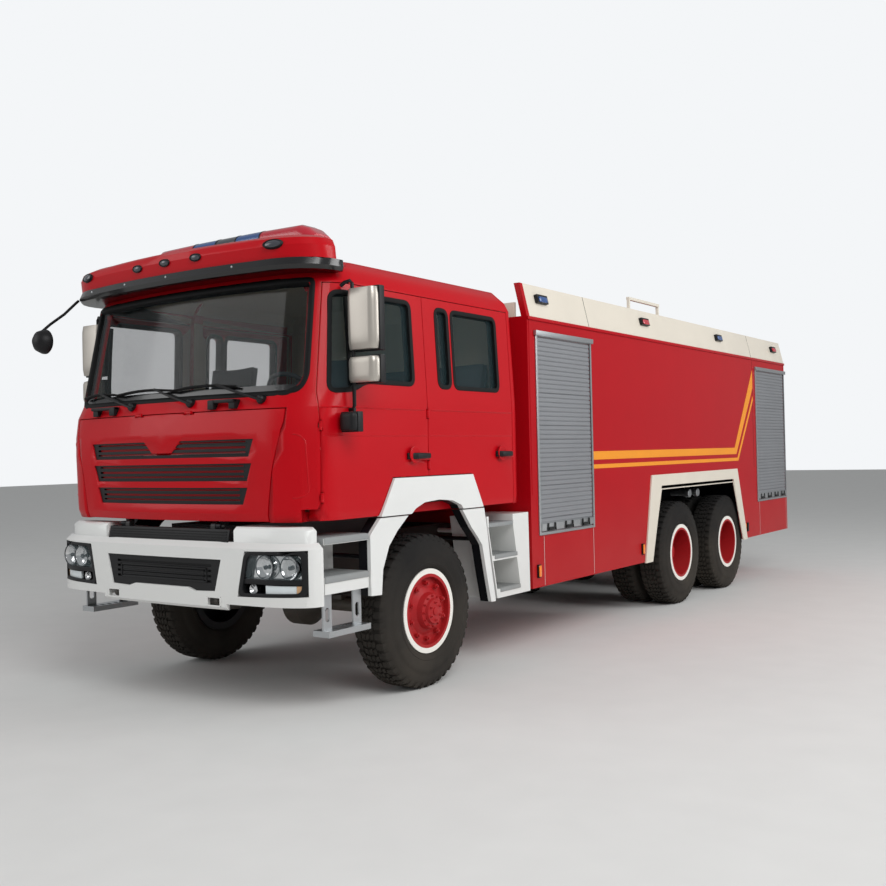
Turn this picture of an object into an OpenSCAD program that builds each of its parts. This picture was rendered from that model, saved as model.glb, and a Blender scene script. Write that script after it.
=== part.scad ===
// Airport fire truck with a crew cab on a three-axle chassis.
// Millimetres. The truck faces -Y, its left side is +X and the floor is Z = 0.
// Inside the modules a station is a Y value counted rearwards from the front axle.

/* [Overall] */
// Station of the foremost point, the bulb of the forward mirror
front_end = -1560; // [-1650:5:-1500]
// Station of the rearmost point, the back of the rear bumper
rear_end = 8240; // [8225:5:8350]
// Running gap between a moving panel and its frame
panel_gap = 6; // [5:0.5:8]
// Radial clearance of a shaft in its hole
run_clear = 0.05; // [0.02:0.01:0.09]
// Gap of a piece that is seated with a hair of clearance
seat_gap = 0.3; // [0.2:0.05:0.5]

/* [Wheels] */
// Outer diameter of a tyre
tyre_d = 1090; // [1070:2:1110]
// Section width of a tyre
tyre_w = 296; // [285:1:300]
// Bead seat diameter of a rim
rim_d = 508; // [500:1:514]
// Half distance between the front tyre centres
front_wheel_x = 1055; // [1045:1:1062]
// Half distance between the outer rear tyre centres
rear_wheel_x = 1075; // [1065:1:1080]
// Distance between the centres of twin tyres
twin_pitch = 335; // [330:1:342]
// Station of the first rear axle
rear_axle_1 = 4575; // [4550:5:4600]
// Distance between the two rear axles
tandem_pitch = 1400; // [1380:5:1410]
// Half distance between the kingpins
kingpin_x = 800; // [790:1:806]
// Radius of a kingpin
kingpin_r = 25; // [20:1:30]
// Radius of a front spindle
spindle_r = 50; // [40:1:56]
// Radius of a rear axle tube end
stub_r = 62; // [50:1:66]
// Radius of the planetary hub
hub_r = 132; // [120:1:140]

/* [Chassis] */
// Half width over the chassis rails
rail_x = 430; // [410:1:440]
// Width of a rail flange
rail_w = 80; // [60:1:90]
// Height of a rail
rail_h = 270; // [250:1:290]
// Wall of a rail
rail_t = 12; // [8:1:16]
// Height of the top of the rails
rail_top = 1060; // [1050:1:1070]
// Bore radius of the front towing eyes
tow_bore_r = 16; // [12:0.5:18]
// Thickness of a front towing eye
tow_eye_t = 30; // [20:1:40]
// Bore radius of the rear towing jaw
jaw_bore_r = 20; // [16:0.5:24]
// Outer radius of the suction coupling
suction_r = 75; // [60:1:85]

/* [Cab] */
// Height of the underside of the cab
cab_bottom = 1250; // [1246:1:1256]
// Thickness of the cab floor
cab_floor_t = 60; // [50:1:70]
// Thickness of the cab walls and doors
cab_wall = 56; // [50:1:62]
// Thickness of the cab roof at its crown
cab_roof_t = 50; // [40:1:60]
// Station of the back of the cab
cab_back = 1200; // [1185:1:1210]
// Station of the front edge of the front doors
door_front = -1130; // [-1140:1:-1120]
// Station of the pillar between the doors
door_middle = -45; // [-60:1:-30]
// Station of the back edge of the rear doors
door_back = 1090; // [1070:1:1110]
// Height of the top edge of the doors
door_top = 2765; // [2750:1:2775]
// Depth of a pane behind the outer face
pane_inset = 18; // [12:1:24]
// Thickness of a pane
pane_t = 8; // [5:1:10]
// Thickness of the front service flap
flap_t = 40; // [30:1:46]
// Height of the top edge of the service flap
flap_top = 1960; // [1950:1:1966]
// Height of the tilting axis of the cab
tilt_z = 1220; // [1216:1:1222]
// Station of the tilting axis of the cab
tilt_s = -1300; // [-1304:1:-1296]
// Radius of the pins that the cab tilts on
tilt_pin_r = 11; // [8:0.5:12]

/* [Front end] */
// Height of the top of the bumper
bumper_top = 1125; // [1115:1:1132]
// Height of the bottom of the bumper at its ends
bumper_bottom = 735; // [725:1:745]
// Thickness of the bumper shell
bumper_t = 30; // [24:1:36]
// Station of the front of the bumper at its middle
bumper_front = -1400; // [-1410:1:-1390]
// Station of the rear ends of the bumper
bumper_back = -1165; // [-1175:1:-1155]

/* [Body] */
// Half width of the body
body_x = 1250; // [1246:1:1255]
// Station of the front wall of the body
body_front = 1354; // [1340:1:1365]
// Station of the rear wall of the body
body_back = 8170; // [8150:1:8180]
// Height of the underside of the side lockers
body_bottom = 540; // [530:1:560]
// Height of the roof deck
body_top = 2768; // [2755:1:2775]
// Thickness of the body walls
body_wall = 50; // [40:1:60]
// Height of the parapet boards over the roof deck
board_h = 277; // [262:1:292]
// Thickness of a parapet board
board_t = 54; // [45:1:60]
// Inward lean of a parapet board at its top
board_lean = 64; // [55:1:70]
// Height of the bottom of a roller shutter
shutter_bottom = 985; // [975:1:995]
// Height of the top of a roller shutter frame
shutter_top = 2610; // [2590:1:2620]
// Height of the ceiling of the rear wheel arches
arch_ceiling = 1278; // [1265:1:1290]

/* [Monitor] */
// Station of the swivel axis of the roof monitor
monitor_s = 7000; // [6950:5:7050]
// Height of the roof monitor's elevation axis over the roof deck
monitor_rise = 412; // [407:1:432]
// Outer radius of the monitor barrel
barrel_r = 42; // [36:1:46]

/* [Hidden] */
$fn = 40;
board_top = body_top + board_h;
monitor_z = body_top + monitor_rise;

SIDES = ["left", "right"];
origin_s = (front_end + rear_end) / 2;
tyre_r = tyre_d / 2;
bead_r = rim_d / 2;
rear_axle_2 = rear_axle_1 + tandem_pitch;
rail_bottom = rail_top - rail_h;

// Sections of the cab: height, station of the nose, half width, station of the back
cab_sections = [
    [cab_bottom, -1345, 1238, cab_back],
    [cab_bottom + 55, -1362, 1244, cab_back],
    [1700, -1374, 1246, cab_back],
    [1830, -1371, 1246, cab_back],
    [1968, -1350, 1246, cab_back],
    [2062, -1302, 1243, cab_back],
    [2785, -1160, 1207, cab_back - 6],
    [2850, -1128, 1180, cab_back - 26],
    [2935, -1045, 1100, cab_back - 70],
    [2992, -865, 885, cab_back - 170]
];
cab_top = cab_sections[len(cab_sections) - 1][0];
nose_bow = 60;
nose_corner_x = 395;
nose_corner_y = 300;
cab_back_r = 70;

// Outline of the white front arch: the foot, the shoulder and their mirror behind the axle
arch_foot_front = -607;
arch_shoulder_front = -455;
arch_shoulder_back = 494;
arch_foot_back = 625;
arch_crest = 1500;

// Moves a module drawn at stations into the part's own frame
module placed() {
    translate([0, -origin_s, 0]) children();
}

// Mirrors a piece of the left side to the right side
module on_side(side) {
    if (side == "right") mirror([1, 0, 0]) children();
    else children();
}

module both_sides() {
    for (side = SIDES) on_side(side) children();
}

// Block between two corners
module block(low, high) {
    translate(low) cube(high - low);
}

// Prism of an outline of stations and heights, between two X values
module side_prism(outline, x0, x1) {
    translate([x0, 0, 0]) rotate([90, 0, 90]) linear_extrude(x1 - x0) polygon(outline);
}

// Prism of an outline of X values and heights, between two stations
module front_prism(outline, s0, s1) {
    translate([0, s1, 0]) rotate([90, 0, 0]) linear_extrude(s1 - s0) polygon(outline);
}

// Round bar along X
module bar_x(x0, x1, r, s, z) {
    translate([x0, s, z]) rotate([0, 90, 0]) cylinder(r = r, h = x1 - x0);
}

// Round bar along Y
module bar_y(s0, s1, r, x, z) {
    translate([x, s0, z]) rotate([-90, 0, 0]) cylinder(r = r, h = s1 - s0);
}

// Round bar between two points
module rod(a, b, r) {
    d = b - a;
    translate(a) rotate([0, acos(d.z / norm(d)), atan2(d.y, d.x)]) cylinder(r = r, h = norm(d));
}

// Body of revolution about the X axis, outline of radius and distance outwards
module wheel_turned(outline) {
    rotate([0, 90, 0]) rotate_extrude($fn = 48) polygon(outline);
}

function along(a, b, t) = a + (b - a) * t;

// Outline with each corner rounded over a length
function soften(points, r, n = 3) = [
    for (i = [0 : len(points) - 1])
        let (
            here = points[i],
            before = points[(i + len(points) - 1) % len(points)],
            after = points[(i + 1) % len(points)],
            start = here + (before - here) * r / norm(before - here),
            end = here + (after - here) * r / norm(after - here)
        )
        for (k = [0 : n])
            let (t = k / n)
            along(along(start, here, t), along(here, end, t), t)
];

// Right half of a horizontal section, from the middle of the nose to the back
function half_ring(nose, half_w, back, bow = nose_bow, corner = nose_corner_y, r = cab_back_r) = concat(
    [for (i = [0 : 3])
        let (x = (half_w - nose_corner_x) * i / 4)
        [x, nose + bow * pow(i / 4, 2)]],
    [for (j = [0 : 6])
        let (a = 15 * j)
        [half_w - nose_corner_x * (1 - sin(a)), nose + bow + corner * (1 - cos(a))]],
    [for (k = [0 : 2])
        let (a = 45 * k)
        [half_w - r * (1 - cos(a)), back - r * (1 - sin(a))]]
);

function mirrored_ring(half) = concat(half, [
    for (i = [len(half) - 1 : -1 : 1]) [-half[i].x, half[i].y]
]);

// Outline of a left edge, listed upwards, and its mirror image
function mirrored_outline(edge) = concat(edge, [
    for (i = [len(edge) - 1 : -1 : 0]) [-edge[i].x, edge[i].y]
]);

function at_height(ring, z) = [for (p = ring) [p.x, p.y, z]];

// Closed solid through horizontal rings of equal point counts, lowest first
module loft(rings) {
    n = len(rings[0]);
    top = n * (len(rings) - 1);
    polyhedron(
        points = [for (ring = rings) each ring],
        faces = concat(
            [[for (i = [0 : n - 1]) i]],
            [[for (i = [n - 1 : -1 : 0]) top + i]],
            [for (k = [0 : len(rings) - 2], i = [0 : n - 1])
                [k * n + i, (k + 1) * n + i, (k + 1) * n + (i + 1) % n]],
            [for (k = [0 : len(rings) - 2], i = [0 : n - 1])
                [k * n + i, (k + 1) * n + (i + 1) % n, k * n + (i + 1) % n]]
        )
    );
}

// Outer volume of the cab, moved inwards by an inset but open past its floor and crown
module cab_volume(inset) {
    last = len(cab_sections) - 1;
    loft([
        for (i = [0 : last])
            let (
                row = cab_sections[i],
                past = inset > 0 ? inset : 0,
                z = row[0] + (i == 0 ? -past : (i == last ? past : 0))
            )
            at_height(mirrored_ring(half_ring(row[1] + inset, row[2] - inset, row[3] - inset)), z)
    ]);
}

// Distance of the rim flange inside the tyre's sides, and its outer radius
bead_in = 26;
flange_r = rim_d / 2 + 44;

// Tyre with a flat tread, rounded shoulders and a bead on each side
module tyre() {
    half = tyre_w / 2;
    seat = bead_in + seat_gap;
    wheel_turned([
        [bead_r, seat - half], [flange_r + seat_gap, seat - half], [flange_r + 6, 12 - half],
        [bead_r + 150, -half],
        [tyre_r - 72, -half + 12], [tyre_r - 14, -half + 34], [tyre_r, -half + 52],
        [tyre_r, half - 52], [tyre_r - 14, half - 34], [tyre_r - 72, half - 12],
        [bead_r + 150, half], [flange_r + 6, half - 12], [flange_r + seat_gap, half - seat],
        [bead_r, half - seat]
    ]);
}

// Rim barrel with its two flanges, open in the middle
module rim_barrel() {
    half = tyre_w / 2 - bead_in;
    wheel_turned([
        [bead_r - 14, -half - 12], [flange_r, -half - 12], [flange_r, -half],
        [bead_r - seat_gap, -half], [bead_r - seat_gap, half], [flange_r, half],
        [flange_r, half + 12], [bead_r - 14, half + 12]
    ]);
}

// Front wheel: barrel, domed disc and planetary hub, bored for the spindle
module front_rim() {
    difference() {
        union() {
            rim_barrel();
            wheel_turned([
                [0, 60], [bead_r - 10, 76], [bead_r - 10, 92], [hub_r + 40, 96],
                [hub_r, 120], [hub_r - 14, 158], [92, 166], [84, 186], [0, 190]
            ]);
            wheel_turned([[0, -40], [hub_r - 20, -40], [hub_r, -20], [hub_r, 80], [0, 80]]);
        }
        bar_x(-60, 40, spindle_r + run_clear, 0, 0);
    }
}

// Twin rear wheel: two barrels bolted back to back on one hub
module rear_rims() {
    disc = -twin_pitch / 2;
    difference() {
        union() {
            rim_barrel();
            translate([-twin_pitch, 0, 0]) rim_barrel();
            for (flip = [-1, 1])
                wheel_turned([
                    [0, disc + 12 * flip], [0, disc - 2 * flip], [hub_r + 30, disc - 2 * flip],
                    [bead_r - 12, disc + 52 * flip], [bead_r - 12, disc + 66 * flip],
                    [hub_r + 24, disc + 12 * flip]
                ]);
            wheel_turned([
                [0, disc - 90], [hub_r - 10, disc - 90], [hub_r, disc - 70], [hub_r, disc + 90],
                [hub_r - 12, disc + 150], [84, disc + 166], [76, disc + 190], [0, disc + 194]
            ]);
        }
        bar_x(disc - 100, disc + 60, stub_r + run_clear, 0, 0);
    }
}

module at_front_wheel() {
    translate([front_wheel_x, 0, tyre_r]) children();
}

module at_rear_wheel(axle) {
    translate([rear_wheel_x, rear_axle_1 + (axle - 1) * tandem_pitch, tyre_r]) children();
}

module tyre_front(side) {
    color("#1f1f20") placed() on_side(side) at_front_wheel() tyre();
}

module rim_front(side) {
    color("#b01522") placed() on_side(side) at_front_wheel() front_rim();
}

module tyres_rear(axle, side) {
    color("#1f1f20") placed() on_side(side) at_rear_wheel(axle) {
        tyre();
        translate([-twin_pitch, 0, 0]) tyre();
    }
}

module rims_rear(axle, side) {
    color("#b01522") placed() on_side(side) at_rear_wheel(axle) rear_rims();
}

// Steering knuckle: two ears with the kingpin, and the spindle
module knuckle(side) {
    color("#2b2b2d") placed() on_side(side) {
        for (flip = [-1, 1]) {
            translate([kingpin_x, 0, tyre_r + flip * (70 + panel_gap + 20)])
                cylinder(r = 62, h = 40, center = true);
            translate([kingpin_x + 45, 0, tyre_r + flip * (70 + panel_gap + 20)])
                cube([90, 120, 40], center = true);
        }
        block([kingpin_x + 74, -75, tyre_r - 116], [kingpin_x + 104, 75, tyre_r + 116]);
        bar_x(kingpin_x + 100, front_wheel_x + 34, spindle_r, 0, tyre_r);
        translate([kingpin_x, 0, tyre_r - 116]) cylinder(r = kingpin_r, h = 232);
        // steering arm behind the axle
        block([kingpin_x - 20, 60, tyre_r - 116], [kingpin_x + 20, 190, tyre_r - 96]);
    }
}

// Axle tube with the housing of the final drive in its middle
module axle_beam(half, r, housing_r) {
    slope = 130;
    wheel_turned([
        [0, -half], [r, -half], [r, -70 - slope], [housing_r, -70], [housing_r, 70],
        [r, 70 + slope], [r, half], [0, half]
    ]);
}

module front_axle() {
    color("#2b2b2d") placed() {
        difference() {
            union() {
                translate([0, 0, tyre_r]) axle_beam(kingpin_x - 40, 56, 185);
                both_sides() translate([kingpin_x, 0, tyre_r - 70]) cylinder(r = 60, h = 140);
                both_sides() block([350, -80, tyre_r + 40], [440, 80, tyre_r + 75]);
            }
            both_sides() translate([kingpin_x, 0, tyre_r - 80])
                cylinder(r = kingpin_r + run_clear, h = 160);
        }
    }
}

module rear_axle_solid(s) {
    hub_in = rear_wheel_x - twin_pitch / 2 - 100;
    union() {
        translate([0, s, tyre_r]) axle_beam(hub_in - 10, 74, 210);
        both_sides() bar_x(hub_in - 40, hub_in + 150, stub_r, s, tyre_r);
        bar_y(s - 300, s - 60, 60, 0, tyre_r + 40);
        both_sides() block([rail_x - 90, s - 75, tyre_r + 60], [rail_x, s + 75, tyre_r + 85]);
    }
}

module rear_axles() {
    color("#2b2b2d") placed() {
        rear_axle_solid(rear_axle_1);
        rear_axle_solid(rear_axle_2);
    }
}

// Half of a leaf spring: share of the half length and the number of leaves there
leaf_steps = [[1, 1], [0.8, 1], [0.8, 2], [0.6, 2], [0.6, 3], [0.4, 3], [0.4, 4], [0, 4]];
leaf_t = 14;

// Leaf spring pack at a station: half length, seat height and eye height
module leaf_pack(s, half, seat_z, eye_z) {
    function top(t) = seat_z + 4 * leaf_t + (eye_z - seat_z) * t * t;
    last = len(leaf_steps) - 1;
    side_prism(concat(
        [for (row = leaf_steps) [s - row[0] * half, top(row[0]) - row[1] * leaf_t]],
        [for (i = [last - 1 : -1 : 0])
            let (row = leaf_steps[i])
            [s + row[0] * half, top(row[0]) - row[1] * leaf_t]],
        [for (t = [1, 0.8, 0.6, 0.4, 0, -0.4, -0.6, -0.8, -1]) [s + t * half, top(t)]]
    ), rail_x - rail_w, rail_x);
}

module leaf_springs() {
    color("#333335") placed() both_sides() {
        leaf_pack(0, 820, tyre_r + 75, rail_bottom - 100);
        for (end = [-1, 1])
            block([rail_x - rail_w, end * 790 - 40, rail_bottom - 80],
                [rail_x, end * 790 + 40, rail_bottom]);
        // the rear springs rest on both axles and pivot on a trunnion between them
        trunnion = rear_axle_1 + tandem_pitch / 2;
        side_prism([
            [rear_axle_1 - 70, tyre_r + 85], [rear_axle_1 + 70, tyre_r + 85],
            [trunnion - 240, tyre_r + 110], [trunnion + 240, tyre_r + 110],
            [rear_axle_2 - 70, tyre_r + 85], [rear_axle_2 + 70, tyre_r + 85],
            [rear_axle_2 + 70, tyre_r + 120], [trunnion + 240, rail_bottom - 20],
            [trunnion + 140, rail_bottom], [trunnion - 140, rail_bottom],
            [trunnion - 240, rail_bottom - 20], [rear_axle_1 - 70, tyre_r + 120]
        ], rail_x - rail_w, rail_x);
    }
}

module propshafts() {
    color("#39393b") placed() {
        bar_y(1500, rear_axle_1 - 300, 55, 0, tyre_r + 100);
        bar_y(rear_axle_1 + 210 + seat_gap, rear_axle_2 - 300, 50, 0, tyre_r + 40);
        // transfer case, hung between the rails
        block([-260, 1180, 500], [rail_x - rail_w, 1500, 900]);
        web = rail_x - rail_t - seat_gap;
        block([-web, 1240, rail_bottom + rail_t + seat_gap], [web, 1300, 900]);
        bar_y(150, 1180, 45, -160, tyre_r + 30);
    }
}

module engine_block() {
    color("#5a5c5e") placed() block([seat_gap + rail_w - rail_x, -1000, rail_bottom - 40],
        [rail_x - rail_w - seat_gap, 640, 1200]);
}

// Cross members: station, bottom height and thickness along the truck
cross_members = [
    [-1120, 60], [980, 50], [1750, 50], [2600, 50], [3500, 50], [4200, 60],
    [5275, 90], [6500, 50], [7300, 50], [8050, 80]
];

module rail() {
    difference() {
        block([rail_x - rail_w, -1150, rail_bottom], [rail_x, rear_end - 110, rail_top]);
        block([rail_x - rail_w - 1, -1151, rail_bottom + rail_t],
            [rail_x - rail_t, rear_end - 109, rail_top - rail_t]);
    }
}

module chassis_frame() {
    color("#232325") placed() {
        difference() {
            union() {
                both_sides() rail();
                for (row = cross_members)
                    block([-rail_x + rail_t / 2, row[0] - row[1] / 2, rail_bottom + rail_t / 2],
                        [rail_x - rail_t / 2, row[0] + row[1] / 2, rail_top - rail_t / 2]);
                // front beam with the towing eyes and the cab's tilting brackets
                block([-600, -1240, rail_bottom - 90], [600, -1150, rail_bottom + 60]);
                both_sides() {
                    block([rail_x - rail_w, -1240, rail_bottom + 50], [rail_x, -1149, rail_top]);
                    block([rail_x - 20, tilt_s - 22, rail_top - 60],
                        [rail_x + 20, -1149, rail_top]);
                    block([rail_x - 20, tilt_s - 22, rail_top - 60],
                        [rail_x + 20, tilt_s + 22, tilt_z]);
                    bar_x(rail_x - 20, rail_x + 20, 22, tilt_s, tilt_z);
                    bar_x(rail_x - 20, rail_x + 90, tilt_pin_r, tilt_s, tilt_z);
                    block([500 - tow_eye_t / 2, -1345, 718], [500 + tow_eye_t / 2, -1239, 774]);
                    bar_x(500 - tow_eye_t / 2, 500 + tow_eye_t / 2, 28, -1345, 746);
                }
                // rear towing jaw
                block([-120, rear_end - 165, 790], [120, rear_end - 90, 950]);
                for (low = [800, 895]) {
                    block([-45, rear_end - 100, low], [45, rear_end - 50, low + 35]);
                    translate([0, rear_end - 50, low]) cylinder(r = 45, h = 35);
                }
            }
            both_sides() bar_x(470, 530, tow_bore_r, -1345, 746);
            translate([0, rear_end - 50, 790]) cylinder(r = jaw_bore_r, h = 160);
        }
    }
}

// Volume of the bumper, moved inwards by an inset, with chamfers at its bottom and top
module bumper_volume(inset, z0, z1, chamfer, back) {
    nose = bumper_front + inset;
    half_w = body_x - 5 - inset;
    rows = [[z0, chamfer / 2], [z0 + chamfer / 2, 0], [z1 - chamfer, 0], [z1, chamfer]];
    loft([
        for (row = rows)
            at_height(mirrored_ring(half_ring(nose + row[1], half_w - row[1], back,
                bumper_bow, bumper_corner, 8)), row[0])
    ]);
}

bumper_bow = 30;
bumper_corner = 180;
headlamp_outline = [[705, 788], [768, 1074], [1206, 1084], [1206, 800]];
lower_grille_outline = [
    [-512, 812], [-330, 806], [-262, 826], [262, 826], [330, 806], [512, 812],
    [568, 1015], [-568, 1015]
];
pedestal_top = tilt_z + 2;
bumper_lip = 40;

function mirror_x(outline) = [for (i = [len(outline) - 1 : -1 : 0]) [-outline[i].x, outline[i].y]];

// Path along the bumper at an inset, from its right end round the front to its left end
function bumper_path(inset) =
    let (
        half_w = body_x - 5 - inset,
        half = half_ring(bumper_front + inset, half_w, bumper_back, bumper_bow,
            bumper_corner - inset, 0),
        last = len(half) - 3
    )
    concat([for (i = [last : -1 : 1]) [-half[i].x, half[i].y]], [for (i = [0 : last]) half[i]]);

// Closed solid through open paths, which go round its cross section
module strip_solid(paths) {
    n = len(paths[0]);
    m = len(paths);
    polyhedron(
        points = [for (path = paths) each path],
        faces = concat(
            [[for (k = [m - 1 : -1 : 0]) k * n]],
            [[for (k = [0 : m - 1]) k * n + n - 1]],
            [for (k = [0 : m - 1], i = [0 : n - 2])
                [k * n + i, (k + 1) % m * n + i, (k + 1) % m * n + i + 1]],
            [for (k = [0 : m - 1], i = [0 : n - 2])
                [k * n + i, (k + 1) % m * n + i + 1, k * n + i + 1]]
        )
    );
}

// Cross section of the bumper: inset and height, up the outside and down the inside
bumper_profile = [
    [18, bumper_bottom - bumper_lip], [0, bumper_bottom - bumper_lip + 18], [0, bumper_top - 36],
    [36, bumper_top], [64, bumper_top], [64, bumper_top - 20], [46, bumper_top - 20],
    [bumper_t, bumper_top - 36], [bumper_t, bumper_bottom - bumper_lip]
];

module bumper() {
    color("#e9eae8") placed() {
        difference() {
            strip_solid([for (row = bumper_profile) at_height(bumper_path(row[0]), row[1])]);
            // clean rear ends
            block([-1300, bumper_back - 5, 0], [1300, 0, 2000]);
            both_sides() block([610, -1500, 0], [1300, 0, bumper_bottom]);
            front_prism(headlamp_outline, -1500, -1180);
            front_prism(mirror_x(headlamp_outline), -1500, -1180);
            front_prism(lower_grille_outline, -1500, -1300);
            both_sides() block([436, -1500, 714], [564, -1300, 778]);
        }
        // brackets on the front beam
        both_sides() block([580, -1365, 730], [600, -1240, 820]);
        // pedestals under the corners of the cab, which follow the bumper round
        intersection() {
            bumper_volume(42, bumper_top - 30, pedestal_top, 24, bumper_back + 60);
            both_sides() block([640, -1500, bumper_top - 36],
                [1300, bumper_back - 8, pedestal_top + 1]);
        }
    }
}

// Layer of the bumper front between two depths, within an outline of X and height
module bumper_layer(outline, depth, thickness) {
    intersection() {
        difference() {
            bumper_volume(depth, bumper_bottom - bumper_lip, bumper_top, 36, bumper_back);
            bumper_volume(depth + thickness, bumper_bottom - 100, bumper_top + 50, 36,
                bumper_back + 60);
        }
        front_prism(outline, -1500, -1210);
    }
}

module headlamps() {
    color("#26282b") placed() {
        bumper_layer(headlamp_outline, 4, 70);
        bumper_layer(mirror_x(headlamp_outline), 4, 70);
    }
}

// Flat panel in the bumper's opening, grooved between its louvres
grille_front = bumper_front + 22;

module lower_grille() {
    color("#161617") placed() difference() {
        front_prism(lower_grille_outline, grille_front, grille_front + 36);
        for (z = [862 : 34 : 964])
            block([-470, grille_front - 1, z], [470, grille_front + 14, z + 16]);
    }
}

step_in = 900;
step_out = 1236;
front_step_front = -1150;
front_step_back = -724;
step_skirt = 800;
stirrup_in = 1100;
stirrup_front = -1120;
stirrup_back = -712;
stirrup_top = 568;
bracket_stations = [-1079, -790];

module front_steps() {
    color("#dfe1e0") placed() both_sides() {
        block([step_in, front_step_front, step_skirt], [step_in + 30, front_step_back, 1148]);
        // treads held by the back wall, the lower one with a skirt
        block([step_in, front_step_front, 1108], [step_out, front_step_back, 1148]);
        block([step_in, front_step_front, step_skirt], [step_out, front_step_back, 905]);
        for (s = [-1060, -820]) bar_x(rail_x, step_in, 20, s, 960);
    }
}

module stirrup_steps() {
    color("#a9abad") placed() both_sides() {
        difference() {
            union() {
                block([stirrup_in, stirrup_front, stirrup_top - 38],
                    [step_out, stirrup_back, stirrup_top]);
                for (s = bracket_stations)
                    block([1176, s - 40, stirrup_top - 8], [1188, s + 40, step_skirt]);
            }
            for (s = bracket_stations) {
                bar_x(1170, 1194, 20, s, 640);
                bar_x(1170, 1194, 20, s, 690);
                block([1170, s - 20, 640], [1194, s + 20, 690]);
            }
            // drain slots
            for (s = [stirrup_front + 30 : 62 : stirrup_back - 60])
                block([stirrup_in + 20, s, stirrup_top - 48], [1166, s + 36, stirrup_top + 10]);
        }
    }
}

arch_leg_front = [
    [-717, 742], [-608, 736], [-590, 900], [-520, 1050], [-425, 1146], [-300, cab_bottom - 10],
    [-607, cab_bottom - 10], [-717, 1136]
];
arch_leg_back = [
    [360, cab_bottom - 10], [474, 1104], [560, 1022], [615, 960], [665, 750], [725, 518],
    [790, 515], [752, 700], [712, 900], [690, 1060], [652, cab_bottom - 10]
];

module front_arches() {
    color("#e9eae8") placed() both_sides() {
        side_prism(arch_leg_front, 1150, body_x);
        side_prism(arch_leg_back, 1150, body_x);
        // stays to the rails
        bar_x(rail_x, 1160, 16, -660, 990);
        bar_x(rail_x, 1160, 16, 668, 1000);
    }
}

// Left and right edges of the rear steps at a height
function step_edge_front(z) = 690 + (1110 - z) * 0.22;
function step_edge_back(z) = 1076 + (1102 - z) * 0.19;

module rear_steps() {
    color("#e9eae8") placed() both_sides() {
        difference() {
            side_prism([[694, 1168], [1318, 1168], [1326, 530], [826, 530], [714, 1050]],
                step_in, step_out + 6);
            for (bay = [[862, 1084], [600, 822]])
                side_prism([
                    [step_edge_front(bay[0]) + 22, bay[0]], [step_edge_back(bay[0]), bay[0]],
                    [step_edge_back(bay[1]), bay[1]], [step_edge_front(bay[1]) + 22, bay[1]]
                ], step_in + 30, step_out + 10);
            block([step_in + 30, 724, 1110], [step_out + 10, 1076, 1170]);
        }
        for (z = [840, 1010]) bar_x(rail_x, step_in, 18, 1200, z);
    }
}

arch_box_outer = [[3540, 528], [3735, 1392], [6222, 1396], [6532, 528]];
arch_box_inner = [[3700, 500], [3968, arch_ceiling], [6083, arch_ceiling], [6398, 500]];
// Room of the rear wheels behind the side skin, wider than the opening in the skin
arch_room = [[3640, 500], [3900, arch_ceiling], [6250, arch_ceiling], [6610, 500]];
skin_in = body_x - 14;
body_inner_x = 560;
// Bays of the roller shutters on the sides: first and last station of the opening
shutter_bays = [[1502, 2440], [6990, 8112]];
rear_bay_x = 560;
deck_floor = rail_top + 60;

module body_shell() {
    color("#b3131f") placed() difference() {
        union() {
            block([-body_x, body_front, rail_top], [body_x, body_back, body_top]);
            both_sides() {
                block([body_inner_x, body_front, body_bottom], [body_x, body_back, rail_top]);
                front_prism(board_outline, body_front, body_front + end_plate_t);
            }
        }
        // wheel arches, open below and to the side
        both_sides() {
            side_prism(arch_room, body_inner_x - 1, skin_in);
            side_prism(arch_box_inner, skin_in - 1, body_x + 10);
        }
        // front lockers, tank bay and pump room
        block([-body_x + body_wall, body_front + body_wall, deck_floor],
            [body_x - body_wall, 2444, body_top - body_wall]);
        block([-body_x + body_wall, 2494, arch_ceiling + body_wall],
            [body_x - body_wall, 6820, body_top - body_wall]);
        block([-body_x + body_wall, 6870, deck_floor],
            [body_x - body_wall, body_back - body_wall, body_top - body_wall]);
        both_sides() {
            block([body_inner_x + body_wall, body_front + body_wall, body_bottom + body_wall],
                [body_x - body_wall, 3560, deck_floor + 1]);
            block([body_inner_x + body_wall, 6670, body_bottom + body_wall],
                [body_x - body_wall, body_back - body_wall, deck_floor + 1]);
            for (bay = shutter_bays)
                block([body_x - body_wall - 1, bay[0], shutter_bottom],
                    [body_x + 1, bay[1], shutter_top]);
        }
        block([-rear_bay_x, body_back - body_wall - 1, shutter_bottom],
            [rear_bay_x, body_back + 1, shutter_top]);
    }
}

// Cross section of the left parapet board, and the red plate that ends it in front
board_outline = [
    [body_x - board_t, body_top], [body_x, body_top],
    [body_x - board_lean, board_top], [body_x - board_lean - board_t, board_top]
];
end_plate_t = 46;

module parapets() {
    color("#e4ddd0") placed() {
        both_sides() {
            front_prism(board_outline, body_front + end_plate_t, body_back);
            // grab rail above the deck edge
            rail = body_x - board_lean - board_t / 2;
            for (s = [3500, 4200])
                block([rail - 13, s - 13, board_top], [rail + 13, s + 13, board_top + 90]);
            block([rail - 16, 3484, board_top + 90], [rail + 16, 4216, board_top + 118]);
        }
        block([-body_x + board_lean + board_t + 1, body_front, body_top],
            [body_x - board_lean - board_t - 1, body_front + 30, body_top + 120]);
    }
}

// Closed shutter curtain in its frame, with slats along the outside
module shutter_curtain(width) {
    height = shutter_top - shutter_bottom;
    difference() {
        block([0, 0, 0], [width, 30, height]);
        for (z = [110 : 55 : height - 150])
            block([34, -1, z], [width - 34, 6, z + 8]);
    }
}

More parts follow.
